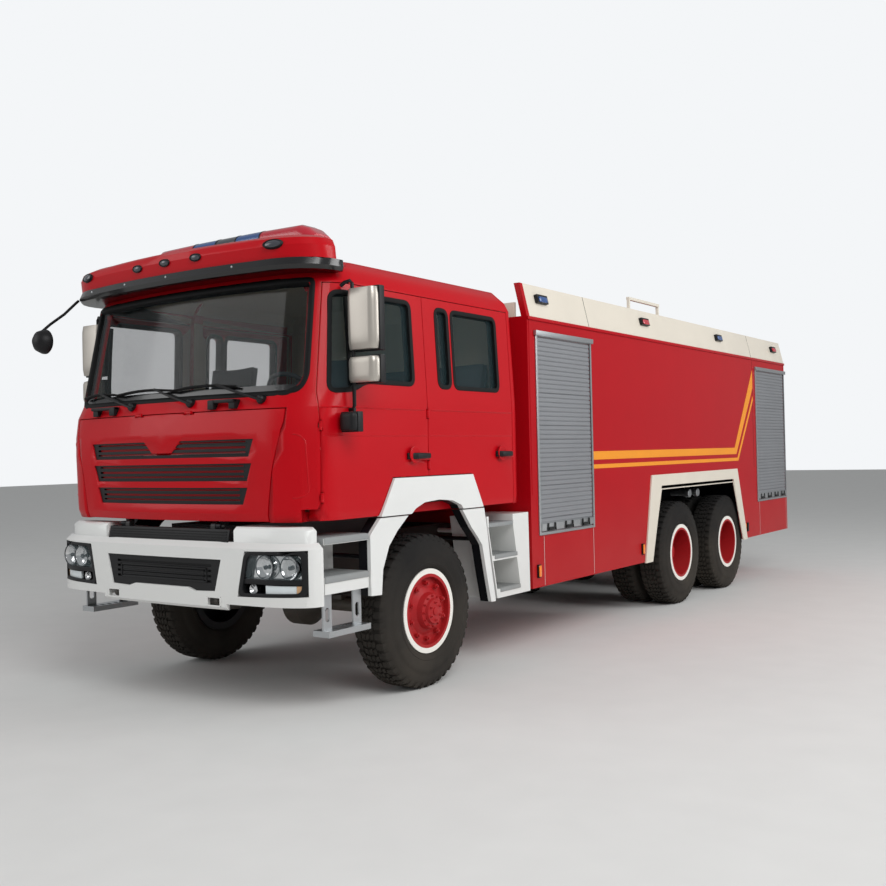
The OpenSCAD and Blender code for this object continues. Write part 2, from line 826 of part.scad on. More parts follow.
module roller_shutters() {
    color("#a5a9ac") placed() {
        both_sides() for (bay = shutter_bays)
            translate([body_x - 4, bay[0], shutter_bottom]) rotate([0, 0, 90])
                shutter_curtain(bay[1] - bay[0]);
        translate([rear_bay_x, body_back - 4, shutter_bottom]) rotate([0, 0, 180])
            shutter_curtain(2 * rear_bay_x);
    }
}

module arch_trims() {
    color("#e4ddd0") placed() both_sides() difference() {
        side_prism(arch_box_outer, body_x, body_x + 14);
        side_prism(arch_box_inner, body_x - 1, body_x + 20);
        block([body_x - 1, 3400, 0], [body_x + 20, 6700, body_bottom - 10]);
    }
}

ladder_x = 780;
ladder_half = 190;
ladder_reach = 50;

module rear_ladder() {
    color("#b9bcbe") placed() {
        out = body_back + ladder_reach;
        for (side = [-1, 1]) {
            x = -ladder_x + side * ladder_half;
            translate([x, out, 780]) cylinder(r = 18, h = 2410);
            bar_y(body_back, out, 14, x, 860);
            bar_y(body_back, out, 14, x, 2600);
            bar_y(body_back - 260, out, 16, x, 3190);
            translate([x, body_back - 260, body_top]) cylinder(r = 16, h = 422);
        }
        for (z = [860 : 290 : 2900])
            bar_x(-ladder_x - ladder_half, -ladder_x + ladder_half, 14, out, z);
    }
}

module tail_lamps() {
    color("#8e1014") placed() both_sides() {
        block([1010, body_back, 700], [1200, body_back + 44, 800]);
        block([1010, body_back, 830], [1200, body_back + 44, 930]);
        block([1120, body_back, 2640], [1210, body_back + 36, 2720]);
    }
}

module rear_bumper() {
    color("#e9eae8") placed() {
        block([-1180, rear_end - 60, 560], [1180, rear_end, 690]);
        both_sides() block([rail_x - rail_w, rear_end - 200, 600],
            [rail_x - rail_w + 30, rear_end - 60, rail_bottom]);
        // suction coupling below the pump room
        bar_y(body_back, rear_end, suction_r, 760, 800);
    }
}

// Side lamps: station, height, width, tall of the boards' lamps and the amber markers
board_lamps = [1636, 3712, 5784, 7789];
marker_stations = [1450, 3490, 6560];

module side_lamps() {
    color("#27428f") placed() both_sides() {
        lean = board_lean / board_h;
        z = board_top - 120;
        for (s = board_lamps)
            translate([body_x - (z - body_top) * lean, s, z])
                rotate([0, -atan(lean), 0]) translate([seat_gap, -88, -36]) cube([30, 176, 72]);
        for (s = marker_stations)
            block([body_x, s - 22, 622], [body_x + 16, s + 22, 728]);
    }
}

// Trapezoid of the white front arch, grown by a gap, from the cab's underside to its crest
function arch_outline(gap) = [
    [arch_foot_front - gap, cab_bottom - 5], [arch_foot_front - gap, cab_bottom + 8],
    [arch_shoulder_front - gap, arch_crest + gap], [arch_shoulder_back + gap, arch_crest + gap],
    [arch_foot_back + gap, cab_bottom + 8], [arch_foot_back + gap, cab_bottom - 5]
];

arch_mouth = [
    [-290, cab_bottom - 10], [-230, 1284], [-120, 1322], [60, 1332], [220, 1318],
    [330, 1280], [368, cab_bottom - 10]
];

// Outlines of the doors on the side, with the gap to the pillars taken off
function door_front_outline(gap) = [
    [door_front - gap, cab_bottom + 6 - gap], [arch_foot_front - panel_gap + gap, cab_bottom + 6 - gap],
    [arch_foot_front - panel_gap + gap, cab_bottom + 14],
    [arch_shoulder_front - panel_gap + gap, arch_crest + panel_gap - gap],
    [door_middle - panel_gap / 2 + gap, arch_crest + panel_gap - gap],
    [door_middle - panel_gap / 2 + gap, door_top + gap], [-985 - gap, door_top + gap],
    [door_front - gap, 1965]
];

function door_rear_outline(gap) = [
    [door_middle + panel_gap / 2 - gap, arch_crest + panel_gap - gap],
    [arch_shoulder_back + panel_gap - gap, arch_crest + panel_gap - gap],
    [arch_foot_back + panel_gap - gap, cab_bottom + 14],
    [arch_foot_back + panel_gap - gap, cab_bottom + 6 - gap],
    [door_back + gap, cab_bottom + 6 - gap], [door_back + gap, door_top + gap],
    [door_middle + panel_gap / 2 - gap, door_top + gap]
];

// Window outlines: the front door's, and the quarter and main panes of the rear door
front_pane = [
    [-1042, 2075], [-820, 2092], [-700, 2148], [-200, 2148], [-200, 2702], [-952, 2702]
];
quarter_pane = [[120, 2143], [252, 2143], [252, 2690], [120, 2690]];
rear_pane = [[320, 2143], [905, 2143], [905, 2690], [320, 2690]];
windscreen_outline = mirrored_outline([
    [1000, 2070], [1072, 2100], [1098, 2180], [1060, 2780]
]);
flap_outline = mirrored_outline([
    [895, cab_bottom + 6], [914, 1393], [943, 1567], [997, 1784], [1024, 1876], [1029, flap_top]
]);

// Hinges of the doors: X and station of the axis, and the heights of the two eyes
front_hinge = [1212, door_front - panel_gap / 2, 1400, 1850];
rear_hinge = [1246, door_middle, 1580, 1940];
flap_hinge_x = 250;
flap_hinge_s = -1349;
flap_hinge_r = 10;
flap_pin_r = 5;
hinge_r = 11;
hinge_pin_r = 6;
door_swing_r = 130;
eye_half = 15;
ear_h = 14;

// Space round the ears of a hinge, on both sides of the eye or across it
module ear_space(hinge, gap, inner) {
    for (z = [hinge[2], hinge[3]], flip = [0, 1])
        translate([hinge[0], hinge[1], z]) mirror([0, 0, flip]) translate([0, 0, inner]) {
            cylinder(r = hinge_r + gap, h = eye_half + seat_gap + ear_h + gap - inner);
            translate([-76, -6 - gap, 0])
                cube([76, 12 + 2 * gap, eye_half + seat_gap + ear_h + gap - inner]);
        }
}

// Ears and pins on the cab, the ears joined by short arms to their pillar
module hinge_ears(hinge, arm) {
    for (z = [hinge[2], hinge[3]]) {
        for (flip = [0, 1])
            translate([hinge[0], hinge[1], z]) mirror([0, 0, flip])
                translate([0, 0, eye_half + seat_gap]) {
                    cylinder(r = hinge_r, h = ear_h);
                    if (arm > 0) translate([-arm, -6, 0]) cube([arm, 12, ear_h]);
                }
        translate([hinge[0], hinge[1], z - eye_half - ear_h])
            cylinder(r = hinge_pin_r, h = 2 * (eye_half + ear_h));
    }
}

module hinge_eyes(hinge, r) {
    for (z = [hinge[2], hinge[3]])
        translate([hinge[0], hinge[1], z - eye_half]) cylinder(r = r, h = 2 * eye_half);
}

module cab_hollow() {
    intersection() {
        cab_volume(cab_wall);
        block([-1300, -1500, cab_bottom + cab_floor_t], [1300, 1300, cab_top - cab_roof_t]);
    }
}

module cab_skin() {
    difference() {
        cab_volume(0);
        cab_hollow();
    }
}

// Layer of the cab's outer skin between two depths
module cab_layer(depth, thickness) {
    difference() {
        cab_volume(depth);
        cab_volume(depth + thickness);
    }
}

// Prism grown on all sides in its plane by a linear scale about a point
module grown_front_prism(outline, s0, s1, gap) {
    front_prism([
        for (p = outline)
            [p.x + sign(p.x) * gap, p.y + (p.y > 1900 ? panel_gap : (p.y < 1300 ? -20 : 0))]
    ], s0, s1);
}

module cab_shell() {
    color("#c41320") placed() {
        both_sides() {
            hinge_ears(front_hinge, 0);
            hinge_ears(rear_hinge, 76);
            // pillar between the doors
            difference() {
                intersection() {
                    cab_layer(cab_wall + panel_gap + 1, 46);
                    block([900, -90, cab_bottom + 10], [1300, 0, cab_top - 30]);
                }
                side_prism(arch_outline(0), 1150, 1300);
            }
            flap_hinge_ears();
        }
        cab_body();
    }
}

// Round bar on the axis of the flap's left hinge, between two distances from its middle
module flap_hinge_bar(x0, x1, r) {
    bar_x(flap_hinge_x + x0, flap_hinge_x + x1, r, flap_hinge_s, flap_top + panel_gap / 2);
}

module flap_hinge_ears() {
    for (side = [-1, 1]) {
        near = eye_half + seat_gap;
        flap_hinge_bar(side > 0 ? near : -near - ear_h, side > 0 ? near + ear_h : -near,
            flap_hinge_r);
    }
    flap_hinge_bar(-eye_half - ear_h, eye_half + ear_h, flap_pin_r);
}

module cab_body() {
    difference() {
        union() {
            cab_skin();
            // lugs that turn on the tilting pins
            both_sides() {
                bar_x(rail_x + 26, rail_x + 66, 22, tilt_s, tilt_z);
                block([rail_x + 26, tilt_s - 2, tilt_z], [rail_x + 66, tilt_s + 60, cab_bottom + 10]);
            }
        }
        both_sides() bar_x(rail_x, rail_x + 100, tilt_pin_r + run_clear, tilt_s, tilt_z);
        both_sides() {
            // room in the floor for the front edge of the opening door
            translate([front_hinge[0], front_hinge[1], cab_bottom + 6 - panel_gap])
                cylinder(r = door_swing_r, h = cab_floor_t + 20);
            intersection() {
                cab_layer(-2, cab_wall + panel_gap + 2);
                union() {
                    side_prism(door_front_outline(panel_gap), 900, 1300);
                    side_prism(door_rear_outline(panel_gap), 900, 1300);
                }
            }
            side_prism(arch_outline(0), 1150, 1300);
            hinge_eyes(front_hinge, hinge_r + panel_gap);
        }
        front_prism(soften(windscreen_outline, 36), -1500, -1000);
        intersection() {
            difference() {
                block([-1200, -1500, cab_bottom - 20], [1200, -1100, flap_top + panel_gap]);
                cab_volume(flap_t + panel_gap);
            }
            grown_front_prism(flap_outline, -1500, -1000, panel_gap + 3);
        }
        both_sides() flap_hinge_bar(-eye_half, eye_half, flap_hinge_r + panel_gap);
    }
}

module windscreen() {
    color("#a9c0c4") placed() intersection() {
        cab_layer(pane_inset, pane_t);
        front_prism(soften(windscreen_outline, 36), -1500, -1000);
    }
}

module arch_tops() {
    color("#e9eae8") placed() both_sides() difference() {
        side_prism(arch_outline(-seat_gap), 1150 + seat_gap, 1262);
        side_prism(arch_mouth, 1100, 1300);
        block([1100, -700, 0], [1300, 700, cab_bottom]);
    }
}

module door_handle(s0, s1) {
    block([1238, s0, 1618], [1274, s1, 1668]);
}

module door_front(side) {
    color("#c41320") placed() on_side(side) {
        difference() {
            intersection() {
                cab_layer(0, cab_wall);
                side_prism(door_front_outline(0), 900, 1300);
            }
            side_prism(soften(front_pane, 45), 850, 1300);
            ear_space(front_hinge, panel_gap, eye_half);
            ear_space(rear_hinge, panel_gap, 0);
            hinge_eyes(front_hinge, hinge_pin_r + run_clear);
        }
        difference() {
            hinge_eyes(front_hinge, hinge_r);
            hinge_eyes(front_hinge, hinge_pin_r + run_clear);
        }
        door_handle(-268, -70);
    }
}

module door_rear(side) {
    color("#c41320") placed() on_side(side) {
        difference() {
            intersection() {
                cab_layer(0, cab_wall);
                side_prism(door_rear_outline(0), 900, 1300);
            }
            side_prism(soften(quarter_pane, 50), 850, 1300);
            side_prism(soften(rear_pane, 50), 850, 1300);
            ear_space(rear_hinge, panel_gap, eye_half);
            hinge_eyes(rear_hinge, hinge_pin_r + run_clear);
        }
        difference() {
            hinge_eyes(rear_hinge, hinge_r);
            hinge_eyes(rear_hinge, hinge_pin_r + run_clear);
        }
        door_handle(860, 1058);
    }
}

module glass_front(side) {
    color("#8fa6ab") placed() on_side(side) intersection() {
        cab_layer(pane_inset, pane_t);
        side_prism(soften(front_pane, 45), 850, 1300);
    }
}

module glass_rear(side) {
    color("#8fa6ab") placed() on_side(side) intersection() {
        cab_layer(pane_inset, pane_t);
        union() {
            side_prism(soften(quarter_pane, 50), 850, 1300);
            side_prism(soften(rear_pane, 50), 850, 1300);
        }
    }
}

// Sections above the windscreen: height, nose station, half width, back station
visor_sections = [[2836, -1318, 1222, -890], [2862, -1334, 1230, -890], [2908, -1312, 1226, -890]];
fascia_sections = [
    [2908, -1296, 1214, -940], [2990, -1312, 1206, -940], [3036, -1302, 1186, -940],
    [3062, -1262, 1130, -940]
];

module sectioned(sections, corner) {
    loft([
        for (row = sections)
            let (half = half_ring(row[1], row[2], row[3], nose_bow, corner, 20))
            at_height(mirrored_ring(half), row[0])
    ]);
}

module sun_visor() {
    color("#17181a") placed() difference() {
        sectioned(visor_sections, nose_corner_y);
        cab_volume(0);
    }
}

module roof_fascia() {
    color("#c41320") placed() difference() {
        sectioned(fascia_sections, 230);
        cab_volume(0);
    }
}

bar_half = 820;
bar_front = -770;
bar_back = -500;

module light_bar() {
    color("#9c1018") placed() {
        both_sides() block([440, bar_front + 40, cab_top], [500, bar_back - 40, 3100]);
        front_prism(mirrored_outline([
            [bar_half - 30, 3090], [bar_half, 3120], [bar_half - 20, 3180], [bar_half - 90, 3236],
            [280, 3244]
        ]), bar_front, bar_back);
    }
}

// Small mirror ahead of the right front corner, on its arm
module forward_mirror() {
    color("#1c1d1f") placed() {
        translate([-1130, front_end + 90, 2530]) sphere(r = 90);
        hull() {
            translate([-1130, front_end + 130, 2570]) sphere(r = 11, $fn = 20);
            translate([-1150, -1290, 2750]) sphere(r = 11, $fn = 20);
        }
        hull() {
            translate([-1150, -1290, 2750]) sphere(r = 11, $fn = 20);
            translate([-1158, -1159, 2862]) sphere(r = 11, $fn = 20);
        }
    }
}

module dashboard() {
    color("#3a3c40") placed() {
        intersection() {
            cab_volume(cab_wall + seat_gap);
            side_prism([
                [-1216, 1700], [-1000, 1640], [-905, 1780], [-880, 1960], [-940, 2030],
                [-1160, 2044], [-1216, 2020]
            ], -1040, 1040);
        }
        // steering column and wheel
        translate([600, -960, 1850]) rotate([-52, 0, 0]) cylinder(r = 32, h = 330);
        translate([600, -700, 2053]) rotate([-52, 0, 0]) {
            rotate_extrude() translate([215, 0]) circle(r = 16, $fn = 16);
            translate([0, 0, -12]) cylinder(r = 60, h = 24);
            for (turn = [0, 120, 240])
                rotate([0, 0, turn + 90]) translate([0, -14, -8]) cube([208, 28, 16]);
        }
        // engine cover between the front seats
        block([-250, -1010, cab_bottom + cab_floor_t], [250, -100, 1560]);
        block([-200, -1180, cab_bottom + cab_floor_t], [200, -1010, 1690]);
    }
}

// Seat of a width centred on X, with its front edge at a station
module seat(x, half_w, s) {
    floor = cab_bottom + cab_floor_t;
    block([x - half_w + 60, s + 60, floor], [x + half_w - 60, s + 400, floor + 220]);
    side_prism(soften([
        [s, floor + 220], [s + 470, floor + 200], [s + 520, floor + 330], [s, floor + 350]
    ], 40), x - half_w, x + half_w);
    side_prism(soften([
        [s + 420, floor + 300], [s + 540, floor + 300], [s + 640, floor + 1080],
        [s + 530, floor + 1080]
    ], 36), x - half_w + 10, x + half_w - 10);
}

module seats() {
    color("#4b4e52") placed() {
        seat(600, 250, -700);
        seat(-600, 250, -700);
        seat(0, 1080, 480);
    }
}

// Grille slots: height of the bottom and the top, half width at each
grille_slots = [[1362, 1470, 712, 752], [1512, 1624, 750, 790], [1666, 1778, 770, 808]];

function slot_outline(row) = [
    [-row[2], row[0]], [row[2], row[0]], [row[3], row[1]], [-row[3], row[1]]
];

// Middle plate that runs down into the top slot and carries the blank badge
badge_plate = [[-95, 1700], [95, 1700], [190, 1790], [-190, 1790]];

module grille_area() {
    for (row = grille_slots) front_prism(slot_outline(row), -1500, -1000);
}

module service_flap() {
    color("#c41320") placed() {
        difference() {
            intersection() {
                cab_layer(0, flap_t);
                front_prism(flap_outline, -1500, -1050);
            }
            difference() {
                intersection() {
                    cab_layer(-1, 25);
                    grille_area();
                }
                front_prism(badge_plate, -1500, -1000);
            }
            both_sides() for (side = [-1, 1])
                flap_hinge_bar(side > 0 ? eye_half : -50, side > 0 ? 50 : -eye_half,
                    flap_hinge_r + panel_gap);
            both_sides() {
                flap_hinge_bar(-eye_half - 1, eye_half + 1, flap_pin_r + run_clear);
                // thin upper corners, which swing down past the edge of the opening
                side_prism([
                    [-1268, 1700], [-1000, 1700], [-1000, flap_top + 1], [-1241, flap_top + 1],
                    [-1252, 1876]
                ], 985, 1100);
            }
        }
        both_sides() difference() {
            flap_hinge_bar(-eye_half, eye_half, flap_hinge_r);
            flap_hinge_bar(-eye_half - 1, eye_half + 1, flap_pin_r + run_clear);
        }
    }
}

module flap_grilles() {
    color("#151516") placed() difference() {
        intersection() {
            cab_layer(8, 16);
            grille_area();
        }
        front_prism(badge_plate, -1500, -1000);
        for (row = grille_slots, t = [0.25, 0.55, 0.85])
            block([-row[2] + 30, -1500, row[0] + (row[1] - row[0]) * t - 7],
                [row[2] - 30, -1000, row[0] + (row[1] - row[0]) * t + 7]);
    }
}

// Mirror heads of the left side: X and station of the middle, height, width, height, depth
mirror_heads = [
    [1365, -875, 2316, 250, 415, 110], [1365, -875, 2109, 250, 185, 110],
    [1330, -990, 1803, 140, 134, 90]
];
mirror_post = [1290, -895];
// Half width of the cab at the lower and the upper arm
door_face = [1246, 1210];

module mirror_arm(side) {
    color("#22252a") placed() on_side(side) {
        for (head = mirror_heads)
            translate([head[0], head[1], head[2]])
                linear_extrude(head[4])
                    polygon(soften([
                        [-head[3] / 2, head[5] / 2], [-head[3] / 2 + 12, -head[5] / 4],
                        [-head[3] / 4, -head[5] / 2], [head[3] / 4, -head[5] / 2],
                        [head[3] / 2 - 12, -head[5] / 4], [head[3] / 2, head[5] / 2]
                    ], 14));
        translate([mirror_post.x, mirror_post.y, 1880]) cylinder(r = 13, h = 910);
        bar_x(door_face[1] + seat_gap, door_face[1] + 16, 13, -915, 2740);
        rod([door_face[1] + 12, -915, 2740], [mirror_post.x, mirror_post.y, 2775], 13);
        rod([mirror_post.x, mirror_post.y, 1900], [1330, -980, 1880], 11);
        bar_x(door_face[0] + seat_gap, mirror_post.x, 13, mirror_post.y, 1950);
    }
}

module monitor_base() {
    color("#8a1a20") placed() {
        translate([0, monitor_s, body_top + 90 + seat_gap]) cylinder(r = 78, h = 120);
        translate([0, monitor_s, body_top + 190]) cylinder(r = 60, h = monitor_rise - 290);
        for (flip = [-1, 1])
            block([flip > 0 ? 62 : -92, monitor_s - 60, monitor_z - 120],
                [flip > 0 ? 92 : -62, monitor_s + 60, monitor_z + 30]);
        block([-92, monitor_s - 60, monitor_z - 120], [92, monitor_s + 60, monitor_z - 80]);
    }
}

module monitor_barrel() {
    color("#8a1a20") placed() {
        bar_y(monitor_s - 760, monitor_s + 60, barrel_r, 0, monitor_z);
        bar_y(monitor_s - 1000, monitor_s - 700, barrel_r + 18, 0, monitor_z);
        bar_x(-62 + seat_gap, 62 - seat_gap, 50, monitor_s, monitor_z);
    }
}

// Flanged pedestal on the roof deck that the monitor swivels on
module monitor_pedestal() {
    color("#8f9396") placed() {
        translate([0, monitor_s, body_top]) cylinder(r = 130, h = 24);
        translate([0, monitor_s, body_top]) cylinder(r = 70, h = 90);
    }
}

chassis_frame();
engine_block();
front_axle();
rear_axles();
leaf_springs();
propshafts();
bumper();
headlamps();
lower_grille();
front_steps();
stirrup_steps();
front_arches();
rear_steps();
body_shell();
parapets();
roller_shutters();
arch_trims();
rear_ladder();
tail_lamps();
rear_bumper();
side_lamps();
cab_shell();
windscreen();
arch_tops();
sun_visor();
roof_fascia();
light_bar();
forward_mirror();
dashboard();
seats();
service_flap();
flap_grilles();
monitor_pedestal();
monitor_base();
monitor_barrel();
for (side = SIDES) {
    door_front(side);
    door_rear(side);
    glass_front(side);
    glass_rear(side);
    mirror_arm(side);
    knuckle(side);
    tyre_front(side);
    rim_front(side);
    for (axle = [1, 2]) {
        tyres_rear(axle, side);
        rims_rear(axle, side);
    }
}
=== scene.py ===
"""Looks of a crew cab fire truck on a three-axle chassis.

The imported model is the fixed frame. Lengths are metres, the truck faces -Y, its left side is +X.
A station is a distance counted rearwards from the front axle, as on a side drawing.
"""

from __future__ import annotations

import logging
import math
from collections.abc import Callable, Iterable, Sequence
from dataclasses import dataclass
from enum import Enum

import bmesh
import bpy
from bpy.types import Material, Mesh, Node, NodeSocket, NodeTree, Object
from mathutils import Matrix, Vector
from mathutils.bvhtree import BVHTree


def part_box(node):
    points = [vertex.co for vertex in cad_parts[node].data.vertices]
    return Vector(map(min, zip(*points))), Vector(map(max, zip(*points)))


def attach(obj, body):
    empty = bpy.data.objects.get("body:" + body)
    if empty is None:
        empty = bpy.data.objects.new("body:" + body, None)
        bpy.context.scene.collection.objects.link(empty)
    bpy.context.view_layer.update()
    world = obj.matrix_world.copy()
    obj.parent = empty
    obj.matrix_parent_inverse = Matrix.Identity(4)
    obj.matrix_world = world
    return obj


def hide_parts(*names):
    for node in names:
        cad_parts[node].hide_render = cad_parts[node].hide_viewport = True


LOG = logging.getLogger("fire_truck")
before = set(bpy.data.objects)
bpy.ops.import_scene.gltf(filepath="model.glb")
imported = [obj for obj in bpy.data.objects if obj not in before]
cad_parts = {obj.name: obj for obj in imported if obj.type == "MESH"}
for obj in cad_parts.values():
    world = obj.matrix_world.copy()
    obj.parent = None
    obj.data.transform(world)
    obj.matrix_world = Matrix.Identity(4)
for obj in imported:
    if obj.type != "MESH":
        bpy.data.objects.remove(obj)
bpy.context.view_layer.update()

SIDES = {"left": 1, "right": -1}
DOORS = [f"door_{row}_{side}" for row in ("front", "rear") for side in SIDES]
AXLE_STATION = 3.340
FRONT_TRACK = 1.055
REAR_TRACK = 1.075
TWIN_PITCH = 0.335
TYRE_RADIUS = 0.545
REAR_AXLES = (4.575, 5.975)
BODY_HALF = 1.250
SEAT = 0.0003  # how far off a panel a piece on it starts
MERGE = 1e-6  # points that are closer than this are one
ROUNDED = math.radians(38)  # flatter edges than this are shaded smooth
FAR = 50.0  # further than any part of the truck
DUST = "#9a8d7c"
DUST_HEIGHTS = (1.3, 0.2)  # where road dust starts and where it is thickest
SMOOTHER, ROUGHER = 0.06, 0.08  # how far the grain moves the roughness

Point = Sequence[float]
Pair = tuple[float, float]
Outline = Sequence[Pair]


def row_y(station: float) -> float:
    """Y of a station behind the front axle."""
    return station - AXLE_STATION


class Axis(Enum):
    """Axes of the frame that a piece can be turned about or run along."""

    X = 0
    Y = 1
    Z = 2


def linear(code: str) -> tuple[float, float, float, float]:
    """Turns an sRGB hex value into linear colour.

    Args:
        code: Hex value such as "#c41320".

    Returns:
        Linear red, green, blue and an alpha of 1.
    """
    parts = [int(code[i : i + 2], 16) / 255 for i in (1, 3, 5)]
    red, green, blue = (c / 12.92 if c <= 0.04045 else ((c + 0.055) / 1.055) ** 2.4 for c in parts)
    return red, green, blue, 1.0


def add_node(
    tree: NodeTree, kind: str, settings: dict[str, object] | None = None,
    links: dict[str | int, object] | None = None,
) -> Node:
    """Adds a node, sets its fields and values, and links its inputs.

    Args:
        tree: Tree that gets the node.
        kind: Blender's name of the node type.
        settings: Fields of the node by name.
        links: Inputs by name or number, each a value or an output socket.

    Returns:
        The new node.
    """
    node = tree.nodes.new(kind)
    for name, value in (settings or {}).items():
        setattr(node, name, value)
    for key, value in (links or {}).items():
        socket = node.inputs[key]
        if isinstance(value, NodeSocket):
            tree.links.new(value, socket)
        else:
            socket.default_value = value
    return node


class Pattern(Enum):
    """What breaks up the colour and relief of a finish."""

    SPRAYED = "sprayed paint with a faint orange peel"
    BRUSHED = "fine scratches along one axis"
    MOULDED = "fine grain of a mould"
    CAST = "coarse sand grain"
    WOVEN = "crossing threads"
    RIBBED = "pressed ribs of a lens"
    CLEAR = "no grain"


@dataclass(frozen=True)
class Finish:
    """One real material, with its colours and the grain of its surface."""

    name: str
    colour: str
    roughness: float
    pattern: Pattern
    grain_mm: float
    relief_mm: float = 0.1
    metallic: float = 0.0
    coat: float = 0.0
    shade: float = 0.12
    dust: float = 0.0
    stretch: Axis | None = None
    glow: float = 0.0
    specular: float = 0.5

    def build(self) -> Material:
        """Makes the material with its node tree.

        Returns:
            The Blender material.
        """
        material = bpy.data.materials.new(self.name)
        material.use_nodes = True
        tree = material.node_tree
        tree.nodes.clear()
        place = add_node(tree, "ShaderNodeTexCoord").outputs["Object"]
        grain = self._grain(tree, place)
        colour = self._colour(tree, place, grain)
        bump = add_node(tree, "ShaderNodeBump", links={
            "Height": grain, "Distance": self.relief_mm / 1000, "Strength": 0.6})
        shine = add_node(tree, "ShaderNodeMapRange", links={
            "Value": grain, "To Min": max(self.roughness - SMOOTHER, 0.02),
            "To Max": self.roughness + ROUGHER})
        shader = add_node(tree, "ShaderNodeBsdfPrincipled", links={
            "Base Color": colour, "Roughness": shine.outputs["Result"],
            "Metallic": self.metallic, "Coat Weight": self.coat,
            "Specular IOR Level": self.specular, "Coat Roughness": 0.06,
            "Normal": bump.outputs["Normal"]})
        if self.glow > 0:
            shader.inputs["Emission Color"].default_value = linear(self.colour)
            shader.inputs["Emission Strength"].default_value = self.glow
        self._finish(tree, shader)
        return material

    def _grain(self, tree: NodeTree, place: NodeSocket) -> NodeSocket:
        """Height pattern from 0 to 1.

        Args:
            tree: Tree of the material.
            place: Object coordinates.

        Returns:
            Output socket of the pattern.
        """
        per_metre = 1000 / self.grain_mm
        scale = [per_metre] * 3
        if self.stretch is not None:
            scale[self.stretch.value] = per_metre / 40
        mapped = add_node(
            tree, "ShaderNodeMapping", links={"Vector": place, "Scale": scale}
        ).outputs["Vector"]
        if self.pattern is Pattern.WOVEN:
            waves = [
                add_node(
                    tree, "ShaderNodeTexWave", {"wave_type": "BANDS", "bands_direction": axis},
                    {"Vector": mapped, "Scale": 0.5, "Distortion": 0.4},
                ).outputs["Fac"]
                for axis in ("X", "Z")
            ]
            return add_node(
                tree, "ShaderNodeMath", {"operation": "MAXIMUM"}, {0: waves[0], 1: waves[1]}
            ).outputs["Value"]
        if self.pattern is Pattern.RIBBED:
            return add_node(
                tree, "ShaderNodeTexWave", {"wave_type": "BANDS", "bands_direction": "DIAGONAL"},
                {"Vector": mapped, "Scale": 0.4},
            ).outputs["Fac"]
        detail = {Pattern.SPRAYED: 1.0, Pattern.CAST: 6.0}.get(self.pattern, 3.0)
        return add_node(
            tree, "ShaderNodeTexNoise", links={"Vector": mapped, "Scale": 1.0, "Detail": detail}
        ).outputs["Fac"]

    def _colour(self, tree: NodeTree, place: NodeSocket, grain: NodeSocket) -> NodeSocket:
        """Base colour, a little uneven and dusty low down.

        Args:
            tree: Tree of the material.
            place: Object coordinates.
            grain: Height pattern.

        Returns:
            Output socket of the colour.
        """
        base = linear(self.colour)
        darker = tuple(c * (1 - self.shade) for c in base[:3]) + (1.0,)
        patches = add_node(
            tree, "ShaderNodeTexNoise", links={"Vector": place, "Scale": 2.3, "Detail": 4.0}
        ).outputs["Fac"]
        even = add_node(
            tree, "ShaderNodeMath", {"operation": "MULTIPLY_ADD"}, {0: grain, 1: 0.3, 2: patches}
        ).outputs["Value"]
        mixed = add_node(
            tree, "ShaderNodeMix", {"data_type": "RGBA"}, {"Factor": even, 6: darker, 7: base}
        ).outputs[2]
        if self.dust <= 0:
            return mixed
        height = add_node(tree, "ShaderNodeSeparateXYZ", links={0: place}).outputs["Z"]
        low = add_node(
            tree, "ShaderNodeMapRange",
            links={"Value": height, "From Min": DUST_HEIGHTS[0], "From Max": DUST_HEIGHTS[1],
                   "To Max": self.dust},
        ).outputs["Result"]
        film = add_node(
            tree, "ShaderNodeMath", {"operation": "MULTIPLY"}, {0: low, 1: patches}
        ).outputs["Value"]
        return add_node(
            tree, "ShaderNodeMix", {"data_type": "RGBA"},
            {"Factor": film, 6: mixed, 7: linear(DUST)},
        ).outputs[2]

    def _finish(self, tree: NodeTree, shader: Node) -> None:
        """Links the shader to the output."""
        add_node(tree, "ShaderNodeOutputMaterial", links={"Surface": shader.outputs[0]})


@dataclass(frozen=True)
class Glazing(Finish):
    """Clear or tinted glass, seen through with a weak tint."""

    clearness: float = 0.8

    def _finish(self, tree: NodeTree, shader: Node) -> None:
        """Lets light through the sheet."""
        shader.inputs["Transmission Weight"].default_value = 0.0
        shader.inputs["Alpha"].default_value = 1 - self.clearness
        Finish._finish(self, tree, shader)


@dataclass(frozen=True)
class PaintWithPaintedShade(Finish):
    """Paint outside a box of the frame, with black painted shade inside it."""

    painted_shade_centre: Point = (0.0, 0.0, 0.0)
    painted_shade_half: Point = (1.0, FAR, FAR)
    # black of the painted shade under the cab and body, in the arches and behind rim discs
    painted_shade_colour: str = "#17171a"

    def _colour(self, tree: NodeTree, place: NodeSocket, grain: NodeSocket) -> NodeSocket:
        """Paint outside the box, black painted shade within it."""
        paint = self._paint(tree, place, grain)
        share = place
        for operation, other in (("SUBTRACT", self.painted_shade_centre), ("DIVIDE", self.painted_shade_half),
                                 ("ABSOLUTE", (0.0, 0.0, 0.0))):
            share = add_node(tree, "ShaderNodeVectorMath", {"operation": operation},
                             {0: share, 1: other}).outputs["Vector"]
        widest, *others = add_node(tree, "ShaderNodeSeparateXYZ", links={0: share}).outputs
        for other in others:
            widest = add_node(tree, "ShaderNodeMath", {"operation": "MAXIMUM"},
                              {0: widest, 1: other}).outputs["Value"]
        # points inside the box get the black painted shade
        within = add_node(
            tree, "ShaderNodeMath", {"operation": "LESS_THAN"}, {0: widest, 1: 1.0}
        ).outputs["Value"]
        return add_node(
            tree, "ShaderNodeMix", {"data_type": "RGBA"},
            {"Factor": within, 6: paint, 7: linear(self.painted_shade_colour)},
        ).outputs[2]

    def _paint(self, tree: NodeTree, place: NodeSocket, grain: NodeSocket) -> NodeSocket:
        """Colour of the outside."""
        return Finish._colour(self, tree, place, grain)


